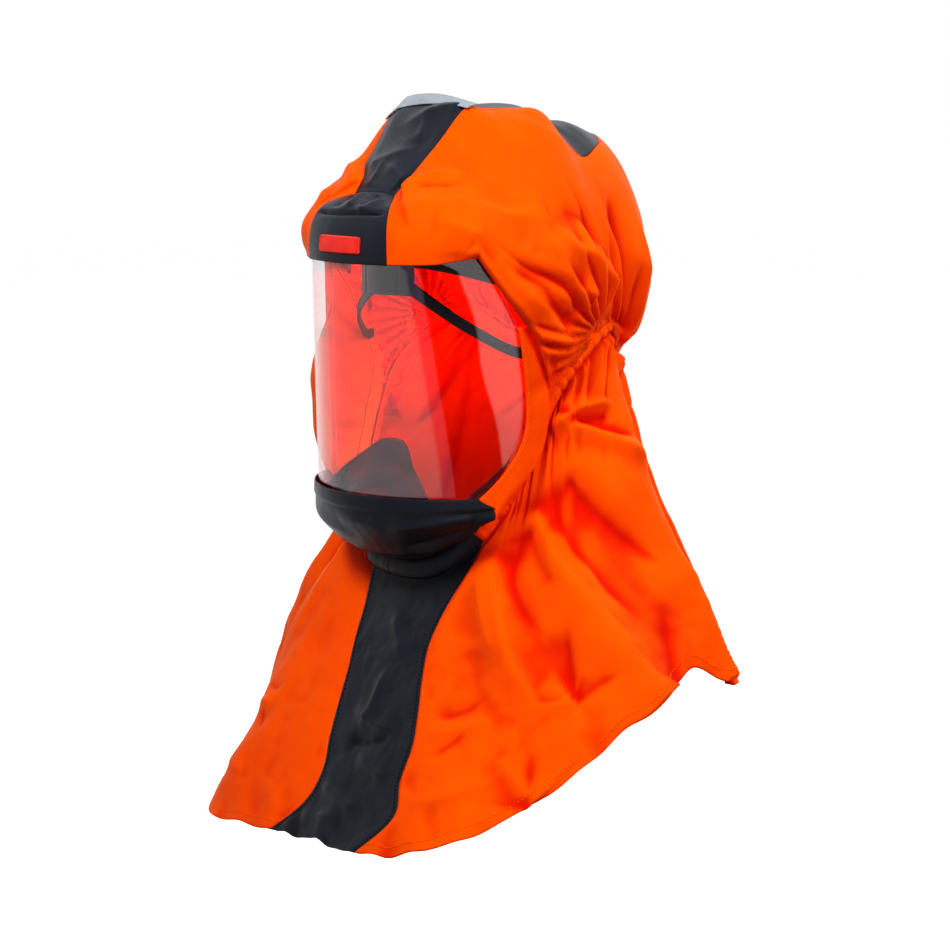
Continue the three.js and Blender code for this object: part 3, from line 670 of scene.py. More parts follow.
# Neck and cape: a row for every 20 degrees from the chin to the nape
casing = {
    "above": 6, "below": 4, "chinAbove": 14, "chinTurns": (38, 62), "rimUp": 1.5, "lift": 1.2, "belly": 4.2,
    "fullness": 0.7, "pitch": 8, "reach": 30, "rows": 14, "thickness": 1.0,
    "band": {"turns": (-18.2, 38.2), "steps": 90, "pucker": 0.3, "seed": 3},
    "round": {"turns": (38.2, 341.8), "steps": 520, "pucker": 1.5, "seed": 4},
}
cape = {
    "sections": [  # neck x y z, hem x y z, hem z on the right, chest, skirt
        [0, -97, -222, 0, -186, -409, -409, 0, 2],
        [38, -92, -216, 62, -186, -406, -416, 0, 2],
        [68, -74, -186, 136, -172, -384, -424, -8, 0],
        [84, -50, -140, 178, -122, -352, -405, -14, 0],
        [90, -22, -84, 200, -56, -305, -360, 0, 6],
        [87, 12, -56, 202, 14, -280, -320, 0, 4],
        [78, 45, -42, 178, 80, -302, -302, -22, -4],
        [58, 70, -60, 136, 126, -306, -306, -24, -4],
        [30, 87, -75, 74, 152, -308, -308, -18, -4],
        [0, 93, -80, 0, 162, -308, -308, -16, -4],
    ],
    "broadFolds": [  # degrees at the neck, degrees at the hem, spread, depth
        [30, 52, 11, -4], [44, 70, 10, 3], [56, 87, 9, 9], [70, 99, 10, -10], [100, 112, 8, 7],
        [126, 132, 9, -8], [146, 150, 9, 6], [-30, -40, 8, 4], [-60, -64, 10, -8], [-88, -92, 10, 8],
        [-118, -118, 10, -8], [-146, -148, 9, 6],
    ],
    "bibEdges": [  # right and left edge in degrees, from the neck to the hem
        [-17, 37], [-13, 27], [-11, 23], [-8.5, 23.5], [-7, 25], [-5.5, 26], [-3.5, 25], [-6, 25.5],
        [-15, 17],
    ],
    "grid": (238, 150), "seeds": {"left": 11, "right": 23}, "thickness": 1.1,
    "startV": -0.03, "under": 260, "broadShares": (0.05, 0.6),
    "facets": (2.6, 46), "crinkles": (1.0, 19), "crinkleShares": (0.05, 0.3),  # height and size; share down
    "ruffle": (11, 7, 20), "ruffleTurns": (42, 66),  # pitch, height, reach; degrees from none to all
    "sewn": {"front": 9, "rear": 6}, "neckHold": 0.03,
    "hemWave": (1.8, 34), "hemFrom": 0.8, "hemHold": 8,  # height and length
    "hemCorner": (112, 7, 9),  # degrees, spread and drop of the hem's corner at each side
    "rightFolds": {"start": -5, "end": 4, "wider": 1.1, "lower": 0.85},
    "folds": [  # from and to as (degrees, share down), bow, width, depth, skew, fade in, fade out
        [60, 0.1, 87.5, 1.0, 0.0, 13, 11, 0.5, 0.1, 0.02],  # sharp ridge that runs down to the hem
        [56, 0.12, 71, 0.55, 0.0, 12, -5, 0.7, 0.1, 0.5],
        [65, 0.16, 90, 0.8, 0.0, 8, -4, 1.2, 0.15, 0.3],
        [73, 0.03, 109, 0.41, 0.0, 9, 10, 1.6, 0.08, 0.25],  # upper edge of the shoulder's puff
        [75, 0.0, 106, 0.3, 0.03, 5, -8, 1.0, 0.05, 0.3],
        [75, 0.19, 102, 0.7, 0.04, 12, -9, 0.5, 0.12, 0.4],  # valley under the puff
        [76, 0.06, 100, 0.17, 0.0, 4, 6, 1.0, 0.1, 0.2],
        [78, 0.09, 98, 0.2, 0.0, 4, -5, 1.0, 0.1, 0.2],
        [114, 0.0, 104, 0.31, 0.0, 7, 8, 0.5, 0.05, 0.3],  # crease from the casing down the shoulder
        [117, 0.03, 107, 0.36, 0.0, 5, -7, 1.0, 0.1, 0.3],
        [43, 0.08, 62.5, 0.78, 0.08, 10, 7, 0.5, 0.1, 0.4],  # streak beside the bib
        [47, 0.1, 64, 0.55, 0.06, 8, -5, 1.0, 0.1, 0.5],
        [38, 0.12, 50, 0.5, 0.04, 6, 3, 1.0, 0.1, 0.4],
        [68.6, 0.56, 68.2, 0.8, 0.0, 9, -4.5, 0.45, 0.4, 0.05],
        [68.2, 0.8, 81, 0.84, 0.0, 8, -3.5, 1.8, 0.05, 0.5],
        [60, 0.66, 69, 0.8, 0.0, 8, 4, 1.0, 0.4, 0.1],
        [97.7, 0.76, 94, 1.0, 0.0, 11, -4, 0.6, 0.5, 0.02],
        [106, 0.6, 111.3, 1.0, 0.0, 9, 7, 0.6, 0.3, 0.02],
        [49, 0.78, 58.6, 1.0, 0.0, 9, 4, 1.6, 0.5, 0.02],
        [58, 0.8, 57, 1.0, 0.0, 9, -3.5, 0.6, 0.6, 0.02],
        [28, 0.52, 48, 0.58, 0.03, 5, -2.2, 1.3, 0.4, 0.5],
        [30, 0.6, 50, 0.68, 0.0, 6, 3, 0.8, 0.3, 0.4],
        [29, 0.7, 44, 0.64, 0.0, 5, -2.2, 1.0, 0.4, 0.5],
        [28, 0.82, 52, 0.84, 0.02, 8, 3, 1.5, 0.2, 0.4],
        [120, 0.03, 122, 0.7, 0.0, 7, -6, 1.0, 0.05, 0.4],
        [132, 0.03, 137, 0.95, 0.0, 8, 7, 1.2, 0.05, 0.2],
        [148, 0.03, 150, 0.8, 0.0, 7, -5, 1.0, 0.05, 0.4],
        [163, 0.2, 160, 0.97, 0.0, 8, 6, 1.0, 0.2, 0.2],
        [174, 0.4, 174, 0.9, 0.0, 11, -3, 1.0, 0.4, 0.4],
    ],
    "pillows": [  # degrees, share down, spread of each, height
        [92, 0.38, 11, 0.13, 7], [86, 0.1, 8, 0.06, 4], [100, 0.09, 7, 0.06, 4], [52, 0.5, 8, 0.16, 4],
        [54, 0.15, 9, 0.1, -13], [67, 0.2, 7, 0.1, -10], [78, 0.38, 8, 0.09, -6],
    ],
}
# The ring of rows goes on round the right side: turned over, with hem heights of its own
leftRows = np.array(cape["sections"], float)
rightRows = leftRows[-2:0:-1] * [-1, 1, 1, -1, 1, 1, 1, 1, 1]
rightRows[:, 5] = rightRows[:, 6]
capeRing = np.delete(np.vstack([leftRows, rightRows]), 6, axis=1)


# Catmull-Rom round the closed ring of rows
def roundRing(degrees):
    place = np.asarray(degrees, float) / 360 * len(capeRing)
    k = np.floor(place).astype(int)
    a, b, c, d = (capeRing[(k + i) % len(capeRing)] for i in (-1, 0, 1, 2))
    return catmull(a, b, c, d, (place - k)[..., None])


# A point at a turn round the neck, moved up along the neck and out from it
def neckPoint(degrees, up, out=0):
    degrees = np.asarray(degrees, float)
    point = roundRing(degrees)[..., :3]
    along = unit(roundRing(degrees + 1)[..., :3] - roundRing(degrees - 1)[..., :3])
    outward = unit(point * [1, 1, 0])
    upward = unit(np.cross(outward, along))
    return point + upward * np.asarray(up)[..., None] + outward * np.asarray(out)[..., None]


# The casing reaches higher in front, where it meets the chin panel
def casingTop(degrees):
    turn = np.abs(np.where(degrees > 180, degrees - 360, degrees))
    return lerp(casing["chinAbove"], casing["above"], ease(*casing["chinTurns"], turn))


# Cape without its small folds: a Bezier curve from the neck to the hem, pushed out by broad Gaussian folds;
# above the neck line, where v < 0, it runs on along the neck under the casing
def capePoint(degrees, v):
    row = roundRing(degrees)
    neck = neckPoint(degrees, np.maximum(-v, 0) * cape["under"] - casing["below"] - 1)
    v = np.maximum(v, 0)
    hem = row[..., 3:6]
    out = unit((hem - neck) * [1, 1, 0])
    upper = lerp(neck, hem, 1 / 3) + out * row[..., 6:7]
    lower = lerp(neck, hem, 2 / 3) + out * row[..., 7:8]
    depth = 0
    for start, end, spread, high in cape["broadFolds"]:
        depth = depth + high * bell((degrees - lerp(start, end, v)) / spread)
    return pushed(bezier(neck, upper, lower, hem, v), out, depth * ease(*cape["broadShares"], v))


# Degrees of the bib's right (0) or left (1) edge, Catmull-Rom through its table
def bibEdge(side, v):
    return throughRows(cape["bibEdges"], v)[..., side]


# Air inlet: a turned spigot with a ribbed flange and a thread
inletSizes = {
    "bore": 14, "spigot": 17, "flange": 23, "collar": 20, "bevel": 0.5, "edge": 0.6,  # radii, then edges
    "ends": (-13.3, 22.1), "collarAt": (-7.2, -4.9), "flangeAt": (1.6, 4.1), "threadAt": (6, 20.5),  # heights
    "threads": 5, "threadDepth": 0.7, "ribs": 20, "ribDepth": 0.5, "hole": 17.5, "holdFrom": 19, "holdTo": 40,
    "turn": 180.0, "share": 0.13, "step": 0.01, "grooveSteps": 41, "sides": 80, "middle": 4,
}
inletPoint, above = (
    capePoint(np.array(inletSizes["turn"]), np.array(share))
    for share in (inletSizes["share"], inletSizes["share"] - inletSizes["step"])
)
inletAxis = unit(np.cross([1, 0, 0], above - inletPoint))
inletAxis = inletAxis * np.sign(inletAxis[1])


# Points of the cape within the hole for the inlet: nearer to its axis than the hole's radius
def atInlet(points):
    away = points - inletPoint
    beside = np.linalg.norm(away - (away @ inletAxis)[..., None] * inletAxis, axis=-1)
    return (beside < inletSizes["hole"]) & (np.linalg.norm(away, axis=-1) < inletSizes["holdTo"])


# Fold rows turned over to the other side: degrees and flanks change places
def mirroredFolds(rows):
    return [[-r[0], r[1], -r[2], *r[3:7], 1 / r[7], *r[8:]] for r in rows]


# Fold rows with their start and end moved on, wider and lower
def movedFolds(rows, start, end, wider, lower):
    return [[r[0] + start, r[1], r[2] + end, *r[3:5], r[5] * wider, r[6] * lower, *r[7:]] for r in rows]


# One half of the cape, from the bib's edge to the middle of the back: folds, pillows, gathers and crinkles
# push the plain surface out, seams and the inlet hold it, and the hem waves and drops further at its corner
def capeHalf(side, seed):
    u, v = gridOf(*cape["grid"])
    v = lerp(cape["startV"], 1, v)
    edge = bibEdge(1 if side > 0 else 0, v)
    degrees = lerp(edge, side * 180.0, u)
    points = capePoint(degrees, v)
    normals = normalsOf(points, chestCentre)
    turn = np.abs(degrees)
    rows = cape["folds"]
    if side < 0:  # the right side hangs in folds of its own
        rows = movedFolds(mirroredFolds(rows), **cape["rightFolds"])
    lift = foldField(capePoint, points, normals, rows) + pillows(turn, v, cape["pillows"])
    along, away = walked(points, 0), walked(points, 1)
    lift = lift + ruffles(along, away, *cape["ruffle"], seed) * ease(*cape["ruffleTurns"], turn)
    lift = lift + crinkled(points, cape, seed + 1) * ease(*cape["crinkleShares"], v)
    fromInlet = np.linalg.norm(points - inletPoint, axis=-1)
    held = sewnHold(points, cape["sewn"]) * ease(0, cape["neckHold"], v)
    held = held * ease(inletSizes["holdFrom"], inletSizes["holdTo"], fromInlet)
    points = pushed(points, normals, lift * held)
    at, spread, drop = cape["hemCorner"]
    nearHem = (ease(cape["hemFrom"], 1, v) * ease(0, cape["hemHold"], along))[..., None]
    longer = drop * bell((turn - at) / spread)[..., None] * unit(np.gradient(points, axis=1))
    waveHeight, waveLength = cape["hemWave"]
    droop = (waveHeight * waves(points, waveLength, seed + 3))[..., None] * [0, 0, 1]
    return points + (droop + longer) * nearHem


sides = {"left": 1, "right": -1}
capePoints = {name: capeHalf(sign, cape["seeds"][name]) for name, sign in sides.items()}
capeLeft, capeRight = (
    addSheet(name, points, chestCentre, orange, f"cape_{side}", cape["thickness"], atInlet(points))
    for name, (side, points) in zip(("capeLeft", "capeRight"), capePoints.items())
)

# Bib: the strip between the two halves, crinkled all over
bibSizes = {
    "grid": (64, 180), "facets": (2.2, 30), "crinkles": (0.8, 13), "seed": 41, "thickness": 1.1,
    "sideHold": 0.12, "neckHold": 0.05, "hemWave": (1.2, 26), "waveSeed": 43, "hemFrom": 0.85,
    "folds": [  # from and to as (degrees, share down), then as on the cape
        [0, 0.5, 22, 0.58, 0.0, 5, 3.5, 1.2, 0.3, 0.3], [2, 0.62, 20, 0.56, 0.02, 4, -3, 1.0, 0.2, 0.3],
        [4, 0.12, 14, 0.3, 0.0, 6, 2.5, 1.0, 0.3, 0.3], [8, 0.66, 22, 0.74, 0.0, 5, 3, 1.0, 0.3, 0.3],
        [-2, 0.8, 16, 0.86, 0.0, 6, 3, 0.8, 0.2, 0.3], [10, 0.3, 6, 0.6, 0.0, 6, 2.5, 1.4, 0.3, 0.3],
        [-6, 0.93, 10, 0.9, 0.0, 6, 2.5, 1.0, 0.2, 0.3],
    ],
}
u, v = gridOf(*bibSizes["grid"])
v = lerp(cape["startV"], 1, v)
points = capePoint(lerp(bibEdge(0, v), bibEdge(1, v), u), v)
normals = normalsOf(points, chestCentre)
lift = foldField(capePoint, points, normals, bibSizes["folds"]) + crinkled(points, bibSizes, bibSizes["seed"])
sewn = inner(u, bibSizes["sideHold"]) * ease(0, bibSizes["neckHold"], v)
waveHeight, waveLength = bibSizes["hemWave"]
droop = waveHeight * waves(points, waveLength, bibSizes["waveSeed"]) * ease(bibSizes["hemFrom"], 1, v) * sewn
bibPoints = pushed(points, normals, lift * sewn) + droop[..., None] * [0, 0, 1]
bib = addSheet("bibStrip", bibPoints, chestCentre, black, "bib", bibSizes["thickness"])
print("cape and bib made")


# The hood's cloth ends inside the casing
def rim(degrees):
    return neckPoint(degrees, casing["rimUp"]).tolist()


# Upper hood: sections from the brow patch round to the middle of the back, on the wearer's left
hood = {
    "sections": [  # top x y z, crown x y z, cheek x y z, rim x y z, rise
        [22, -118, 58, 38, -136, 52, 43, -146, 49, 43, -144, 11, 2],
        [25, -106, 71, 44, -115, 64, 73, -124, 50, 72, -123, 12, 2],
        [28, -95, 83, 50, -97, 74, 96, -99, 50, 87.5, -98.5, 16.5, 3],
        [31, -82, 97, 60, -80, 84, 112, -74, 44, 97, -74.5, -18, 3],
        [35, -62, 119, 74, -59, 105, 123, -50, 34, 100, -52, -46, 3],
        [36, -45, 119, 88, -44, 112, 129, -38, 20, 98, -36, -80, 3],
        [36, -24, 119, 95, -26, 115, 134, -24, 16, *rim(75), 2],
        [37, 2, 116, 93, -8, 103, 135, -8, 18, *rim(90), 6],
        [42, 22, 103, 85, 8, 84, 133, 2, 16, *rim(105), 16],
        [52, 41, 83, 82, 22, 72, 124, 12, 6, *rim(120), 24],
        [41, 67, 89, 72, 72, 86, 117, 70, -40, *rim(138), 19],
        [23, 89, 93, 44, 108, 87, 72, 130, -52, *rim(158), 9],
        [2, 102, 98, 2, 128, 86, 2, 146, -52, *rim(179), 0],
    ],
    "backSeam": 0.75, "seamGap": 0.0005, "cornerRows": (1, 3), "thickness": 1.1,
    "sideGrid": (234, 122), "seeds": {"left": 5, "right": 8},
    "facets": (1.3, 44), "crinkles": (0.4, 18), "ruffle": (9, 3, 8), "ruffleShares": (0.36, 0.5),
    "sewn": {"top": 9, "rear": 7, "front": 5}, "visorHold": 9, "neckHold": 6, "neckFree": 0.2,
    "puffHold": {"front": 5, "foot": 8, "top": 12},
    "roll": {"height": 2.4, "away": 4, "width": 4, "from": (0.12, 0.16), "to": (0.36, 0.44)},
    "rightFolds": {"start": 0.02, "end": -0.015, "wider": 1.1, "lower": 0.9},
    "rightSeam": {"from": 0.06, "full": 0.18, "fade": 0.42, "to": 0.58, "share": 0.11},
    "sideFolds": [  # from and to as (share round, share down), bow, width, depth, skew, fade in, fade out
        [0.087, 0.667, 0.2, 0.9, 0.0, 9, 4, 0.8, 0.3, 0.4],  # from the brow over the visor's corner
        [0.17, 0.9, 0.535, 0.823, 0.02, 9, 7, 0.8, 0.4, 0.15],  # and on to the gathers
        [0.22, 0.86, 0.56, 0.78, 0.0, 7, -6, 1.0, 0.2, 0.15],
        [0.407, 0.567, 0.735, 0.81, -0.03, 8, 7, 0.7, 0.3, 0.05],
        [0.46, 0.5, 0.74, 0.7, -0.02, 8, -5, 1.0, 0.4, 0.05],
        [0.3, 0.6, 0.6, 0.8, -0.02, 8, 5, 0.7, 0.4, 0.05],
        [0.38, 0.95, 0.57, 0.97, 0.0, 4, -4, 1.0, 0.3, 0.1],
        [0.045, 0.05, 0.24, 0.33, 0.03, 8, 5, 0.6, 0.02, 0.5],  # small fold that laps over the stripe
        [0.06, 0.2, 0.22, 0.42, 0.04, 7, -3, 1.0, 0.3, 0.5],
        [0.04, 0.46, 0.45, 0.53, 0.1, 9, 5, 0.8, 0.1, 0.5],
        [0.42, 0.12, 0.62, 0.24, 0.05, 11, 3, 1.0, 0.3, 0.3],
        [0.72, 0.1, 0.735, 0.8, 0.0, 7, 5, 1.0, 0.1, 0.2],  # along the back seam
    ],
    "gather": {  # pleats that run out from the gathers below the ear
        "at": (0.66, 0.96), "step": 0.01, "pitch": 14, "height": 7.5, "power": 0.7, "middle": 0.5,
        "from": 1, "full": 20, "fade": 34, "to": 104, "longer": 0.35, "longerRate": 2.3,
        "wander": 0.3, "wanderTurn": 27, "wave": 0.22, "waveLength": 70,
    },
    "sidePillows": [[0.3, 0.94, 0.05, 0.05, 2], [0.55, 0.11, 0.05, 0.08, 5]],
    "rightPillows": [[0.065, 0.78, 0.04, 0.16, 5], [0.2, 0.3, 0.1, 0.24, 4], [0.05, 0.42, 0.05, 0.12, -2]],
}
hoodRows = np.array(hood["sections"], float)
mirrored = hoodRows[-2] * [*[-1, 1, 1] * 4, 1]


# Catmull-Rom through the sections, which run on past the middle of the back into their mirror image; at the
# visor's corner the rim is straight from row to row
def hoodRow(share):
    row = throughRows(hoodRows, share, mirrored)
    place = np.asarray(share) * (len(hoodRows) - 1)
    first, last = hood["cornerRows"]
    corner = np.arange(first, last + 1)
    straight = np.stack([np.interp(place, corner, hoodRows[corner, k]) for k in (9, 10, 11)], -1)
    inside = ((place > first) & (place < last))[..., None]
    return np.concatenate([row[..., :9], np.where(inside, straight, row[..., 9:12]), row[..., 12:]], -1)


# A section at share u is a Bezier curve from the stripe's edge over crown and cheek to the rim
def hoodPoint(u, v):
    row = hoodRow(u)
    return bezier(row[..., 0:3], row[..., 3:6], row[..., 6:9], row[..., 9:12], v)


# Share down at which the right panel starts, because the stripe laps further over on that side
def rightSeam(share):
    seam = hood["rightSeam"]
    fade = 1 - ease(seam["fade"], seam["to"], share)
    return seam["share"] * ease(seam["from"], seam["full"], share) * fade


# Pleats round a gathered place: lobes of the angle about it, seen along the surface's normal there, growing
# from the gather to full height and running out further off, each at a length of its own
def radiating(points, sizes, seed):
    (u, v), step = sizes["at"], sizes["step"]
    place, onU, onV = (hoodPoint(np.array(a), np.array(b)) for a, b in ((u, v), (u + step, v), (u, v - step)))
    forward, upward = unit(place - onU), unit(onV - place)
    away = points - place
    turn = np.degrees(np.arctan2(away @ upward, away @ forward))
    reach = np.linalg.norm(away, axis=-1)
    phase = turn / sizes["pitch"] + sizes["wander"] * np.sin(turn / sizes["wanderTurn"])
    phase = phase + sizes["wave"] * waves(points, sizes["waveLength"], seed)
    own = 1 + sizes["longer"] * np.sin(phase * sizes["longerRate"] + seed)
    fade = 1 - ease(sizes["fade"] * own, sizes["to"] * own, reach)
    high = ease(sizes["from"], sizes["full"], reach) * fade
    return sizes["height"] * high * lobes(phase, sizes["power"], sizes["middle"])


# One side panel: folds, gathers that grow towards the neck and crinkles push the plain surface out, less so
# by the seams; pillows and a rolled edge along the visor, a bell of the distance from it, are added to that
def sidePanel(side, seed):
    u, v = gridOf(*hood["sideGrid"])
    share = u * (hood["backSeam"] - hood["seamGap"])
    if side < 0:
        v = lerp(rightSeam(share), 1, v)
    points = hoodPoint(share, v)
    normals = normalsOf(points, headCentre)
    rows, puffs = hood["sideFolds"], hood["sidePillows"]
    if side < 0:
        rows, puffs = movedFolds(rows, **hood["rightFolds"]), hood["rightPillows"]
    lift = foldField(hoodPoint, points, normals, rows)
    along, away = walked(points, 0), walkedBack(points, 1)
    gathered = ease(*hood["ruffleShares"], share)
    lift = lift + ruffles(along[:, -1:] + 0 * v, away, *hood["ruffle"], seed) * gathered
    lift = lift + radiating(points, hood["gather"], seed) + crinkled(points, hood, seed + 1)
    atNeck = lerp(hood["neckFree"], 1, ease(0, hood["neckHold"], away))
    edge = lerp(ease(0, hood["visorHold"], away), atNeck, gathered)
    roll = hood["roll"]
    rolled = roll["height"] * bell((away - roll["away"]) / roll["width"])
    rolled = rolled * ease(*roll["from"], share) * (1 - ease(*roll["to"], share))
    puffed = pillows(share, v, puffs) * sewnHold(points, hood["puffHold"])
    lift = lift * sewnHold(points, hood["sewn"]) * edge + puffed + rolled
    return pushed(points, normals, lift) * [side, 1, 1]


sidePoints = {name: sidePanel(sign, hood["seeds"][name]) for name, sign in sides.items()}
sideLeft, sideRight = (
    addSheet(name, points, headCentre, orange, f"side_panel_{side}", hood["thickness"])
    for name, (side, points) in zip(("sidePanelLeft", "sidePanelRight"), sidePoints.items())
)

# Back panel, between the two back seams
backSizes = {
    "grid": (190, 115), "startV": 0.006, "middle": 0.04, "seed": 71,
    "facets": (1.4, 46), "crinkles": (0.5, 19), "ruffle": (12, 8, 22),
    "sewn": {"front": 7, "rear": 7, "top": 9}, "neckHold": 6, "neckFree": 0.15,
    "folds": [  # from and to as (side from -1 to 1, share down), then as on the sides
        [0.86, 0.3, 0.78, 0.98, 0.0, 8, -9, 1.0, 0.25, 0.02],
        [0.62, 0.3, 0.66, 0.96, 0.0, 9, 5, 1.2, 0.4, 0.05],
        [0.95, 0.45, 0.9, 0.97, 0.0, 6, 5, 1.0, 0.3, 0.05],
        [0.7, 0.55, 0.7, 0.98, 0.0, 5, -6, 1.0, 0.4, 0.02],
        [0.4, 0.45, 0.45, 0.96, 0.0, 8, -5, 1.0, 0.4, 0.05],
        [0.1, 0.3, 0.16, 0.96, 0.0, 10, 5, 1.0, 0.4, 0.05],
        [-0.2, 0.4, -0.16, 0.96, 0.0, 9, -5, 1.0, 0.4, 0.05],
        [-0.5, 0.25, -0.44, 0.96, 0.0, 9, 5, 0.8, 0.4, 0.05],
        [-0.8, 0.3, -0.78, 0.95, 0.0, 8, -6, 1.0, 0.2, 0.05],
        [-0.95, 0.35, 0.2, 0.55, 0.04, 12, 3, 1.0, 0.3, 0.5],
        [0.9, 0.5, 0.1, 0.7, 0.04, 12, 3, 1.0, 0.3, 0.5],
    ],
}


# The hood's sections from one back seam to the other, with x turned over past the middle
def backPoint(side, v):
    point = hoodPoint(lerp(1, hood["backSeam"] + hood["seamGap"], np.abs(side)), v)
    turned = np.sign(side) * ease(0, backSizes["middle"], np.abs(side))
    return point * np.stack([turned, 1 + 0 * side, 1 + 0 * side], -1)


u, v = gridOf(*backSizes["grid"])
points = backPoint(2 * u - 1, lerp(backSizes["startV"], 1, v))
normals = normalsOf(points, headCentre)
along, away = walked(points, 0), walkedBack(points, 1)
lift = foldField(backPoint, points, normals, backSizes["folds"])
lift = lift + ruffles(along[:, -1:] + 0 * v, away, *backSizes["ruffle"], backSizes["seed"])
lift = lift + crinkled(points, backSizes, backSizes["seed"] + 1)
atNeck = lerp(backSizes["neckFree"], 1, ease(0, backSizes["neckHold"], away))
backPoints = pushed(points, normals, lift * sewnHold(points, backSizes["sewn"]) * atNeck)
backPanel = addSheet("backPanel", backPoints, headCentre, orange, "back_panel", hood["thickness"])
print("side and back panels made")

# Crown stripe and the tape sewn across it
stripeSizes = {
    "grid": (56, 196), "from": 0.001, "to": 0.996, "facets": (1.0, 32), "crinkles": (0.3, 14), "seed": 91,
    "sideHold": 0.18, "browHold": 0.02, "lapMost": 1.4,
    "folds": [  # from and to as (side from -1 to 1, share along), then as on the sides
        [-0.9, 0.12, 0.6, 0.2, 0.0, 7, 2.5, 1.0, 0.2, 0.4],
        [0.95, 0.06, -0.3, 0.12, 0.0, 6, 2.5, 1.2, 0.1, 0.4],
        [-0.5, 0.02, -0.2, 0.16, 0.0, 6, 2, 1.0, 0.1, 0.4],
        [0.4, 0.22, 0.1, 0.33, 0.0, 7, 2, 1.0, 0.3, 0.3],
        [-0.6, 0.45, 0.7, 0.52, 0.0, 8, -2, 1.0, 0.3, 0.3],
        [-0.8, 0.8, 0.8, 0.76, 0.0, 9, 2, 1.0, 0.3, 0.3],
        [0.9, 0.34, -0.5, 0.27, 0.0, 6, 3, 1.0, 0.1, 0.4],
    ],
}
tapeSizes = {
    "grid": (60, 16), "from": 0.325, "to": 0.37, "half": 1.12, "lift": 2.2, "arch": 0.5, "peak": -0.62,
    "tilt": 5.5, "tiltAbout": 0.38, "curl": 0.7, "thickness": 0.9,
}


# How far the tape stands off at a place across the stripe, from 0 at its ends to 1 at its peak
def tapeArch(side):
    half, peak = tapeSizes["half"], tapeSizes["peak"]
    return ease(-half, -peak, -side) * ease(-half, peak, side)


# Straight across between the two edges and raised in the middle by rise (1 - (reach / half)^2); on the right
# it runs on over the side's own section down to the right seam
def stripePoint(side, share):
    edge = hoodPoint(share, 0 * share)
    rise = hoodRow(share)[..., 12]
    seam = rightSeam(share)
    half = edge[..., 0]
    lap = np.linalg.norm(hoodPoint(share, seam) - edge, axis=-1)
    reach = np.where(side < 0, side * (half + lap), side * half)
    flat = np.stack([reach, edge[..., 1], edge[..., 2] + rise * (1 - (reach / half) ** 2)], -1)
    past = np.clip((-half - reach) / np.maximum(lap, 0.001), 0, stripeSizes["lapMost"])
    lapped = hoodPoint(share, seam * past) * [-1, 1, 1]
    return np.where((reach > -half)[..., None], flat, lapped)


u, v = gridOf(*stripeSizes["grid"])
side, share = 2 * u - 1, lerp(stripeSizes["from"], stripeSizes["to"], v)
points = stripePoint(side, share)
normals = normalsOf(points, headCentre)
lift = foldField(stripePoint, points, normals, stripeSizes["folds"])
lift = lift + crinkled(points, stripeSizes, stripeSizes["seed"])
lift = lift * ease(0, stripeSizes["sideHold"], 1 - np.abs(side)) * ease(0, stripeSizes["browHold"], v)
points = pushed(points, normals, lift)
stripe = addSheet("crownStripe", points, headCentre, black, "crown_stripe", hood["thickness"])

u, v = gridOf(*tapeSizes["grid"])
side = (2 * u - 1) * tapeSizes["half"]
points = stripePoint(side, lerp(tapeSizes["from"], tapeSizes["to"], v))
leaned = tapeSizes["arch"] + tapeSizes["tilt"] * (v - tapeSizes["tiltAbout"])
standOff = tapeSizes["lift"] + leaned * tapeArch(side) + tapeSizes["curl"] * np.abs(2 * v - 1) ** 3
points = points + standOff[..., None] * [0, 0, 1]
tape = addSheet("crownTape", points, headCentre, grey, "crown_tape", tapeSizes["thickness"])

# Brow patch: between the first sections of both sides, bowed out over the brow, creased above a smooth band
browSizes = {
    "grid": (72, 64), "bow": 10, "startV": -0.02, "thickness": 1.1, "proud": 0.15,
    "creaseAt": 0.52, "creaseDepth": -2.6, "creaseWidth": 0.035, "creaseWave": 0.02, "creaseTurns": 5,
    "facets": 0.7, "facetSize": 20, "seed": 95, "topHold": 0.14, "bandShares": (0.47, 0.58),
    "creaseHold": 0.15, "sideHold": 0.06,
    "folds": [  # from and to as (share across, share down), then as on the sides
        [0.4, 0.02, 0.46, 0.48, 0.0, 5, 2.6, 1.2, 0.1, 0.3],
        [0.7, 0.05, 0.62, 0.46, 0.0, 6, -2.2, 1.0, 0.1, 0.3],
        [0.2, 0.1, 0.3, 0.48, 0.0, 5, -2, 1.0, 0.1, 0.3],
        [0.85, 0.2, 0.6, 0.5, 0.0, 5, 2, 1.0, 0.1, 0.2],
    ],
}


# The first section, drawn across from side to side: bowed forward by bow (1 - side^2) v, and raised like the
# stripe at its top
def patchPoint(u, v):
    side = 2 * u - 1
    edge = hoodPoint(0 * v, v)
    curve = 1 - side * side
    rise = hood["sections"][0][12] * (1 - v)
    forward = edge[..., 1] - browSizes["bow"] * curve * v
    return np.stack([side * edge[..., 0], forward, edge[..., 2] + rise * curve], -1)


u, v = gridOf(*browSizes["grid"])
v = lerp(browSizes["startV"], 1, v)
points = patchPoint(u, v)
normals = normalsOf(points, headCentre)
creaseLine = browSizes["creaseAt"] + browSizes["creaseWave"] * np.sin(browSizes["creaseTurns"] * u)
crease = browSizes["creaseDepth"] * bell((v - creaseLine) / browSizes["creaseWidth"])
small = browSizes["facets"] * crumple(points, browSizes["facetSize"], browSizes["seed"])
small = small + foldField(patchPoint, points, normals, browSizes["folds"])
small = small * ease(0, browSizes["topHold"], v) * (1 - ease(*browSizes["bandShares"], v))
lift = (crease * inner(u, browSizes["creaseHold"]) + small) * inner(u, browSizes["sideHold"])
points = pushed(points, normals, lift + browSizes["proud"])
browPatch = addSheet("browPatch", points, headCentre, black, "brow_patch", browSizes["thickness"])

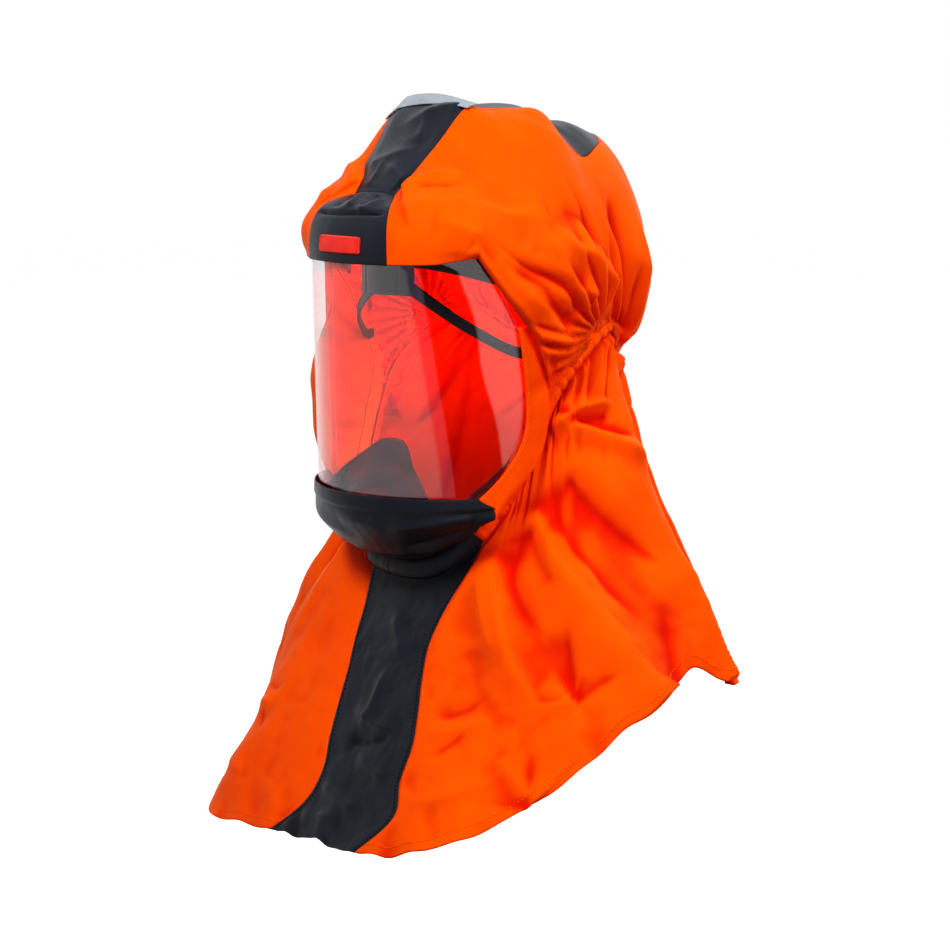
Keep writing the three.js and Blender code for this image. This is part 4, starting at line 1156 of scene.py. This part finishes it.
# Label: the square of the grid drawn in to rounded corners, domed at its edge
labelSizes = {
    "grid": (56, 20), "fromU": 0.24, "toU": 0.76, "fromV": 0.8, "toV": 0.94, "thickness": 0.5,
    "power": 12, "base": 0.45, "lift": 1.3, "domeX": 0.12, "domeY": 0.25, "outward": (0.7, 1, 0),
    "seam": {"half": (0.93, 0.8), "power": 0.25, "raised": 1.7, "count": 240},
    "stitch": {"pitch": 1.5, "length": 1.2, "thick": 0.4},
}


# A place on the label at x, y from -1 to 1, raised above the brow patch
def labelPoint(x, y, raised):
    onU = lerp(labelSizes["fromU"], labelSizes["toU"], (x + 1) / 2)
    onV = lerp(labelSizes["fromV"], labelSizes["toV"], (y + 1) / 2)
    base = patchPoint(onU, onV)
    return pushed(base, unit(base * labelSizes["outward"]), raised)


u, v = gridOf(*labelSizes["grid"])
x, y = 2 * u - 1, 2 * v - 1
power = labelSizes["power"]
bulge = np.maximum((np.abs(x) ** power + np.abs(y) ** power) ** (1 / power), 1e-9)
pull = np.maximum(np.abs(x), np.abs(y)) / bulge
x, y = x * pull, y * pull
dome = np.sqrt(ease(0, labelSizes["domeX"], 1 - np.abs(x)) * ease(0, labelSizes["domeY"], 1 - np.abs(y)))
points = labelPoint(x, y, labelSizes["base"] + labelSizes["lift"] * dome)
label = addSheet("browLabel", points, headCentre, red, "brow_label", labelSizes["thickness"])
print("stripe, brow and label made")

# Chin panel: a bowl from the visor's lower edge down and back to the neck
chin = {
    "grid": (136, 58), "half": 65, "edgeZ": -156, "lift": 2.2, "swell": 3, "drop": 24, "tuck": 30,
    "turn": 0.62, "flank": 7, "flankFrom": (0, 0.14), "flankTo": (0.4, 0.85), "neckDown": 2, "neckOut": 0.4,
    "thickness": 1.1,
    "facets": (1.2, 30), "crinkles": (0.4, 13), "seed": 121, "sideHold": 0.04, "footFrom": 0.9,
    "binding": 0.9, "bindingTo": 0.13, "bindingStep": 0.02, "freeFrom": 0.17,  # the last two past the binding
    "folds": [  # from and to as (degrees, share down), then as on the sides
        [20, 0.32, 62, 0.2, 0.0, 6, 3, 1.2, 0.3, 0.1],
        [24, 0.55, 63, 0.42, 0.03, 6, -3, 1.0, 0.3, 0.05],
        [30, 0.72, 64, 0.62, 0.0, 6, 3.5, 1.2, 0.3, 0.05],
        [-50, 0.3, 0, 0.46, 0.0, 8, 2.2, 1.0, 0.3, 0.4],
        [-20, 0.6, 40, 0.68, 0.0, 6, 2.5, 1.0, 0.3, 0.3],
        [-60, 0.6, -20, 0.75, 0.0, 6, 2.5, 1.0, 0.2, 0.3],
        [-8, 0.2, 26, 0.34, 0.0, 8, 1.8, 1.0, 0.3, 0.4],
    ],
}
chinCentre = np.array([0, -40, -150])


# Degrees at which the panel ends, further round below its upper corner
def chinEnd(v):
    return chin["half"] + chin["flank"] * ease(*chin["flankFrom"], v) * (1 - ease(*chin["flankTo"], v))


# A Bezier curve at each turn: from the visor's edge out and down, then tucked back to the neck
def chinPoint(degrees, v):
    angle = np.radians(degrees)
    edge = visorPoint(angle * visorSizes["radius"], chin["edgeZ"] + 0 * v, chin["lift"])
    turn = degrees * chin["turn"]
    neck = neckPoint(turn, casingTop(turn) - chin["neckDown"], chin["neckOut"])
    out = np.stack([np.sin(angle), -np.cos(angle), 0 * angle], -1)
    upper = edge + out * chin["swell"] + [0, 0, -chin["drop"]]
    return bezier(edge, upper, neck + out * chin["tuck"], neck, v)


u, v = gridOf(*chin["grid"])
points = chinPoint(lerp(-chinEnd(v), chinEnd(v), u), v)
normals = normalsOf(points, chinCentre)
lift = foldField(chinPoint, points, normals, chin["folds"]) + crinkled(points, chin, chin["seed"])
bound = chin["bindingTo"]
free = ease(bound, bound + chin["freeFrom"], v) * (1 - ease(chin["footFrom"], 1, v))
free = free * inner(u, chin["sideHold"])
proud = chin["binding"] * (1 - ease(bound, bound + chin["bindingStep"], v))
points = pushed(points, normals, lift * free + proud)
chinPanel = addSheet("chinPanel", points, chinCentre, black, "chin_panel", chin["thickness"])

# Visor frame: a face along the sheet's rear edge, then a return that runs in under the side panel and to the
# neck. The right one is a wide soft gusset that shows through the window.
frameSizes = {
    "sections": [  # height, inner, outer
        [-34, 139, 153], [-82, 147, 167], [-112, 146, 167], [-136, 131, 156], [-156, 112, 136],
    ],
    "face": 0.6, "lift": 2.2, "flare": 2, "flareShares": (0.1, 0.35), "rimFrom": 0.34, "joint": 0.3,
    "crumple": 0.7, "seed": 131, "thickness": 1.3,
}
gussetSizes = {
    "sections": [
        [12, 112, 117], [-26, 112, 122], [-64, 112, 126], [-104, 113, 129], [-134, 113, 130],
        [-156, 112, 128],
    ],
    "face": 0.3, "lift": 2.2, "flare": 29, "flareShares": (0.15, 0.55), "rimFrom": 0.175, "joint": 0.4,
    "crumple": 2.4, "seed": 133, "thickness": 1.3,
}
frameBoth = {  # what the two frames share
    "grid": (108, 54), "rimTo": 0.49, "rimV": 0.93, "tuck": (-5, 0, 0), "turnFrom": 74, "turnTo": 41.5,
    "neckDown": 1, "jointSoft": 0.05, "chinShares": (0.75, 1), "chinGap": 0.3,
    "crumpleSize": 26, "crumpleOver": 0.2, "footFrom": 0.9, "wave": 0.25, "waveLength": 24,
}


# Where the return ends: behind the side panel, then from the joint on at the neck
def frameRear(u, sizes):
    joint = sizes["joint"]
    share = lerp(sizes["rimFrom"], frameBoth["rimTo"], np.clip(u / joint, 0, 1))
    turn = lerp(frameBoth["turnFrom"], frameBoth["turnTo"], np.clip((u - joint) / (1 - joint), 0, 1))
    atRim = hoodPoint(share, frameBoth["rimV"] + 0 * u) + frameBoth["tuck"]
    atNeck = neckPoint(turn, casingTop(turn) - frameBoth["neckDown"])
    soft = frameBoth["jointSoft"]
    return lerp(atRim, atNeck, ease(joint - soft, joint + soft, u)[..., None])


# The face follows the visor's sheet and flares out from it, the return runs straight on to its rear, and the
# lower end bends over to the chin panel's edge
def framePoint(u, v, sizes):
    across = np.minimum(v / sizes["face"], 1)
    row = throughRows(sizes["sections"], u)
    w = lerp(row[..., 1], row[..., 2], across)
    flare = sizes["flare"] * across * ease(*sizes["flareShares"], u)
    face = visorPoint(w, row[..., 0], sizes["lift"] + flare)
    past = np.maximum(v - sizes["face"], 0) / (1 - sizes["face"])
    point = lerp(face, frameRear(u, sizes), past[..., None])
    chinSide = chinPoint(chinEnd(v) + frameBoth["chinGap"], v)
    return lerp(point, chinSide, ease(*frameBoth["chinShares"], u)[..., None])


# The frame with its return crumpled, less so where it ends, and a slight wave all over
def frameGrid(sizes):
    u, v = gridOf(*frameBoth["grid"])
    points = framePoint(u, v, sizes)
    face, seed = sizes["face"], sizes["seed"]
    lift = sizes["crumple"] * crumple(points, frameBoth["crumpleSize"], seed)
    lift = lift * ease(face, face + frameBoth["crumpleOver"], v) * (1 - ease(frameBoth["footFrom"], 1, v))
    wave = frameBoth["wave"] * waves(points, frameBoth["waveLength"], seed + 1)
    return pushed(points, normalsOf(points, faceCentre), lift + wave)


framePoints, gussetPoints = frameGrid(frameSizes), frameGrid(gussetSizes) * [-1, 1, 1]
frameLeft, frameRight = (
    addSheet(name, points, faceCentre, orange, nodeName, sizes["thickness"])
    for name, nodeName, points, sizes in (
        ("visorFrameLeft", "visor_frame_left", framePoints, frameSizes),
        ("visorFrameRight", "visor_frame_right", gussetPoints, gussetSizes),
    )
)


# Neck casing: a band round the gathered neck, belly sin^fullness between its edges, puckered along it
def casingGrid(sizes):
    u, v = gridOf(sizes["steps"], casing["rows"])
    degrees = lerp(*sizes["turns"], u)
    up = lerp(casingTop(degrees), -casing["below"], v)
    out = casing["lift"] + casing["belly"] * np.sin(np.pi * v) ** casing["fullness"]
    points = neckPoint(degrees, up, out)
    along = walked(points, 0)
    puckers = ruffles(along, 0 * along, casing["pitch"], sizes["pucker"], casing["reach"], sizes["seed"])
    return pushed(points, normalsOf(points, chestCentre), puckers)


neckBand, neckCasing = (
    addSheet(name, casingGrid(casing[stretch]), chestCentre, finish, nodeName, casing["thickness"])
    for name, stretch, finish, nodeName in (
        ("neckBand", "band", black, "neck_band"),
        ("neckCasing", "round", orange, "neck_casing"),
    )
)

# Neck seal: a soft collar that rises inside the chin panel to a free edge
sealSizes = {
    "edge": [
        [-72, -98, -158], [-75, -76, -147], [-60, -60, -134], [-47, -50, -134], [-22, -60, -154],
        [4, -68, -172], [32, -70, -170], [50, -56, -154], [57, -36, -140],
    ],
    "grid": (110, 40), "turns": (-48, 48), "foot": 0.35, "inset": 2.4, "sag": 6, "thickness": 0.9,
    "facets": 2.0, "facetSize": 24, "wave": 1.0, "waveLength": 28, "seed": 141, "footHold": 0.2,
}
sealCentre = np.array([0, -40, -400])
u, v = gridOf(*sealSizes["grid"])
foot = chinPoint(lerp(*sealSizes["turns"], u), sealSizes["foot"] + 0 * u)
foot = foot + unit(chinCentre - foot) * sealSizes["inset"]
top = throughRows(sealSizes["edge"], u)
belly = lerp(foot, top, 0.5) - [0, 0, sealSizes["sag"]]
points = bezier(foot, belly, belly, top, v)
lift = sealSizes["facets"] * crumple(points, sealSizes["facetSize"], sealSizes["seed"])
lift = lift + sealSizes["wave"] * waves(points, sealSizes["waveLength"], sealSizes["seed"] + 1)
points = pushed(points, normalsOf(points, sealCentre), lift * ease(0, sealSizes["footHold"], v))
neckSeal = addSheet("neckSeal", points, sealCentre, black, "neck_seal", sealSizes["thickness"])
print("chin, frame, casing and seal made")

# Harness: a brow bracket and flat straps with rounded edges
bracket = {
    "grid": (60, 60), "half": 0.7, "footV": 0.8, "footBack": 2.2, "backY": -108, "rearBack": 4, "rearUp": 10,
    "archAt": 0.6, "archUp": 4, "dropZ": -15, "middle": -6, "width": 28, "bend": 8, "thickness": 2.2,
    "rib": 0.8, "ribAt": 0.6, "ribHalf": 0.06,
}
bracketCentre = np.array([0, -130, -20])
# A Bezier curve at each place across: from the brow patch back over an arch and down behind the visor
u, v = gridOf(*bracket["grid"])
foot = patchPoint(0.5 + (u - 0.5) * bracket["half"], bracket["footV"] + 0 * u) + [0, bracket["footBack"], 0]
across = 2 * u - 1
onX = bracket["middle"] + across * bracket["width"]
onY = bracket["backY"] + bracket["bend"] * across**2
rear = np.stack([onX, onY + bracket["rearBack"], foot[..., 2] + bracket["rearUp"]], -1)
down = np.stack([onX, onY, bracket["dropZ"] + 0 * u], -1)
points = bezier(foot, lerp(foot, rear, bracket["archAt"]) + [0, 0, bracket["archUp"]], rear, down, v)
rib = bracket["rib"] * (np.abs(np.abs(across) - bracket["ribAt"]) < bracket["ribHalf"])
points = pushed(points, normalsOf(points, bracketCentre), rib)
addSheet("browBracket", points, bracketCentre, plastic, "brow_bracket", bracket["thickness"])

strapProfile = {"steps": 90, "sides": 24, "thick": 2.2, "flatPower": 0.35, "edgePower": 0.6}


# A power of a value that keeps its sign
def signedPower(value, power):
    return np.sign(value) * np.abs(value) ** power


# Strap: a flat oval profile, width upright, carried along a Catmull-Rom line through a few points
def strapMesh(name, route, widthFrom, widthTo):
    share = np.linspace(0, 1, strapProfile["steps"])
    line = throughRows(np.array(route, float), share)
    angle = np.linspace(0, 2 * np.pi, strapProfile["sides"] + 1)
    outward = unit(np.cross(unit(np.gradient(line, axis=0)), [0, 0, 1]))
    wide = signedPower(np.sin(angle), strapProfile["flatPower"])
    thin = signedPower(np.cos(angle), strapProfile["edgePower"]) * strapProfile["thick"] / 2
    upright = lerp(widthFrom, widthTo, share)[:, None, None] / 2 * wide[:, None] * [0, 0, 1]
    return gridMesh(name, line[:, None] + upright + outward[:, None] * thin[:, None], line.mean(0))


# A point at a depth under the hood's surface, along its normal
def insideHood(u, v, depth):
    step = 0.002
    point, onU, onV = (hoodPoint(np.array(u + a), np.array(v + b)) for a, b in ((0, 0), (step, 0), (0, step)))
    normal = unit(np.cross(onU - point, onV - point))
    return (point - normal * np.sign(normal @ point) * depth).tolist()


strapSizes = {  # widths at the bracket and at the cloth
    "temple": {
        "route": [(20, -102, 14), (40, -98.8, 13), (62, -92, 10), (82, -76, 4), insideHood(0.3, 0.84, 4.5)],
        "widths": (16, 16),
    },
    "cheek": {
        "route": [(19, -101, -9), (38, -96, -20), (60, -84, -35), (82, -58, -53), insideHood(0.41, 0.93, 5)],
        "widths": (11, 7.5),
    },
}
for sideName, sign in (("Left", 1), ("Right", -1)):
    for strapName, sizes in strapSizes.items():
        name = f"{strapName}Strap{sideName}"
        mesh = strapMesh(name, np.array(sizes["route"]) * [sign, 1, 1], *sizes["widths"])
        addPiece(name, mesh, plastic, [f"{strapName}_strap_{sideName.lower()}"])


# The profile runs as (radius, height) from the inner mouth round the outside and back down the bore
def inletProfile(sizes):
    bore, spigot, flange, collar = (sizes[k] for k in ("bore", "spigot", "flange", "collar"))
    bevel, edge, (mouth, end) = (sizes[k] for k in ("bevel", "edge", "ends"))
    (under, over), (low, high) = sizes["collarAt"], sizes["flangeAt"]
    foot = [
        [bore, mouth], [spigot - bevel, mouth], [spigot, mouth + bevel],
        [spigot, under - 0.2], [collar, under], [collar, over], [spigot, over + 0.1],
        [spigot, low], [flange - edge, low], [flange, low + bevel],
        [flange, high - bevel], [flange - edge, high], [spigot + edge, high + 0.2], [spigot, high + 1.1],
    ]
    steps = np.linspace(0, 1, sizes["grooveSteps"])
    groove = sizes["threadDepth"] * (0.5 - 0.5 * np.cos(2 * np.pi * sizes["threads"] * steps))
    thread = np.stack([spigot - groove, lerp(*sizes["threadAt"], steps)], -1)
    lip = [
        [spigot, end - 0.7], [spigot - edge, end], [bore + bevel, end], [bore, end - edge], [bore, mouth],
    ]
    return np.vstack([foot, thread, lip])


# The profile is turned round the inlet's axis, with ribs on the flange's edge
profile = inletProfile(inletSizes)
angle = np.linspace(0, 2 * np.pi, inletSizes["sides"] + 1)
onFlange = (profile[:, 0] > inletSizes["flange"] - 1) & (profile[:, 1] > inletSizes["flangeAt"][0])
radius = profile[None, :, 0] + inletSizes["ribDepth"] * np.cos(angle * inletSizes["ribs"])[:, None] * onFlange
sideWay = np.array([1.0, 0, 0])
ring = np.cos(angle)[:, None, None] * sideWay + np.sin(angle)[:, None, None] * np.cross(inletAxis, sideWay)
points = inletPoint + ring * radius[..., None] + inletAxis * profile[None, :, 1:2]
addSheet("airInlet", points, inletPoint + inletAxis * inletSizes["middle"], plastic, "air_inlet", 0)
print("harness and inlet made")


stitch = {
    "pitch": 3.2, "length": 2.3, "thick": 0.55, "lift": 0.1, "wall": 1.3, "flat": 1.15, "sides": 8,
    "lines": {  # the line of the grid that a row of stitches follows
        "bibRight": 2, "bibLeft": -3, "hem": -6, "crown": 3, "back": -3, "frame": 3, "front": 14, "rear": -7,
    },
    "rings": [  # place along, width, hump
        [-0.5, 0.25, -0.35], [-0.32, 1.0, 0.35], [0.32, 1.0, 0.35], [0.5, 0.25, -0.35],
    ],
}


# Stitches along a line of points, in one mesh: short humped capsules, each a round profile in a few rings
def stitchMesh(name, line, normals, pitch, length, thick):
    step = np.concatenate([[0], np.cumsum(np.linalg.norm(np.diff(line, axis=0), axis=1))])
    at = np.arange(pitch / 2, step[-1], pitch)
    along = np.gradient(line, axis=0)
    middle, normal, tangent = (
        np.stack([np.interp(at, step, values[:, k]) for k in range(3)], -1)
        for values in (line, normals, along)
    )
    normal, tangent = unit(normal), unit(tangent)
    across = unit(np.cross(normal, tangent))
    n, ringCount = stitch["sides"], len(stitch["rings"])
    angle = np.arange(n) / n * 2 * np.pi
    place, wide, hump = (np.array(stitch["rings"])[:, k, None, None] for k in range(3))
    middle, normal, tangent, across = (values[:, None, None] for values in (middle, normal, tangent, across))
    circle = np.cos(angle)[:, None] * across * stitch["flat"] + np.sin(angle)[:, None] * normal
    points = middle + tangent * place * length + circle * wide * thick / 2 + normal * hump * thick
    base, last = np.arange(n), n * (ringCount - 1)
    turn = (base + 1) % n
    walls = [np.stack([k + base, k + turn, k + n + turn, k + n + base], -1) for k in range(0, last, n)]
    caps = [[0, k + 2, k + 1, k] for k in range(1, n - 2, 2)]
    caps = caps + [[last, last + k, last + k + 1, last + k + 2] for k in range(1, n - 2, 2)]
    faces = np.concatenate([*walls, caps])
    allFaces = (faces[None] + (np.arange(len(at)) * n * ringCount)[:, None, None]).reshape(-1, 4)
    mesh = bpy.data.meshes.new(name)
    mesh.from_pydata(points.reshape(-1, 3) * mm, [], allFaces)
    mesh.polygons.foreach_set("use_smooth", np.ones(len(allFaces), bool))
    mesh.update()
    return mesh


# A row of stitches along one line of a grid: axis 0 keeps u and axis 1 keeps v; inside is the inner face
def stitchRow(name, grid, centre, axis, index, finish, inside=False):
    normals = normalsOf(grid, centre)
    line, normal = np.take(grid, index, axis=axis), np.take(normals, index, axis=axis)
    if inside:
        normal = -normal
        line = line + normal * stitch["wall"]
    line = line + normal * stitch["lift"]
    mesh = stitchMesh(name, line, normal, stitch["pitch"], stitch["length"], stitch["thick"])
    return addPiece(name, mesh, finish)


at = stitch["lines"]
bibSeams = [
    stitchRow("bibStitchRight", bibPoints, chestCentre, 0, at["bibRight"], blackSewing),
    stitchRow("bibStitchLeft", bibPoints, chestCentre, 0, at["bibLeft"], blackSewing),
]
leftHem = [stitchRow("hemStitchLeft", capePoints["left"], chestCentre, 1, at["hem"], orangeSewing)]
rightHem = [stitchRow("hemStitchRight", capePoints["right"], chestCentre, 1, at["hem"], orangeSewing)]
leftSeams, rightSeams = (
    [
        stitchRow(f"crownStitch{sideName}", points, headCentre, 1, at["crown"], orangeSewing),
        stitchRow(f"backStitch{sideName}", points, headCentre, 0, at["back"], orangeSewing),
    ]
    for sideName, points in zip(("Left", "Right"), sidePoints.values())
)
frameSeams = [stitchRow("frameStitchLeft", framePoints, faceCentre, 1, at["frame"], orangeSewing)]
gussetSeams = [
    stitchRow("gussetStitchFront", gussetPoints, faceCentre, 1, at["front"], blackSewing, inside=True),
    stitchRow("gussetStitchRear", gussetPoints, faceCentre, 1, at["rear"], blackSewing, inside=True),
]

# The label's seam is a square with rounded corners: a power of cosine and sine, near its edge
seam = labelSizes["seam"]
angle = np.linspace(0, 2 * np.pi, seam["count"])
x, y = (signedPower(f(angle), seam["power"]) * half for f, half in zip((np.cos, np.sin), seam["half"]))
labelLine = labelPoint(x, y, seam["raised"] + 0 * x)
labelOut = unit(labelLine * labelSizes["outward"])
labelEdge = stitchMesh("labelStitch", labelLine, labelOut, **labelSizes["stitch"])
labelSeams = [addPiece("labelStitch", labelEdge, redSewing)]
print("stitches made")
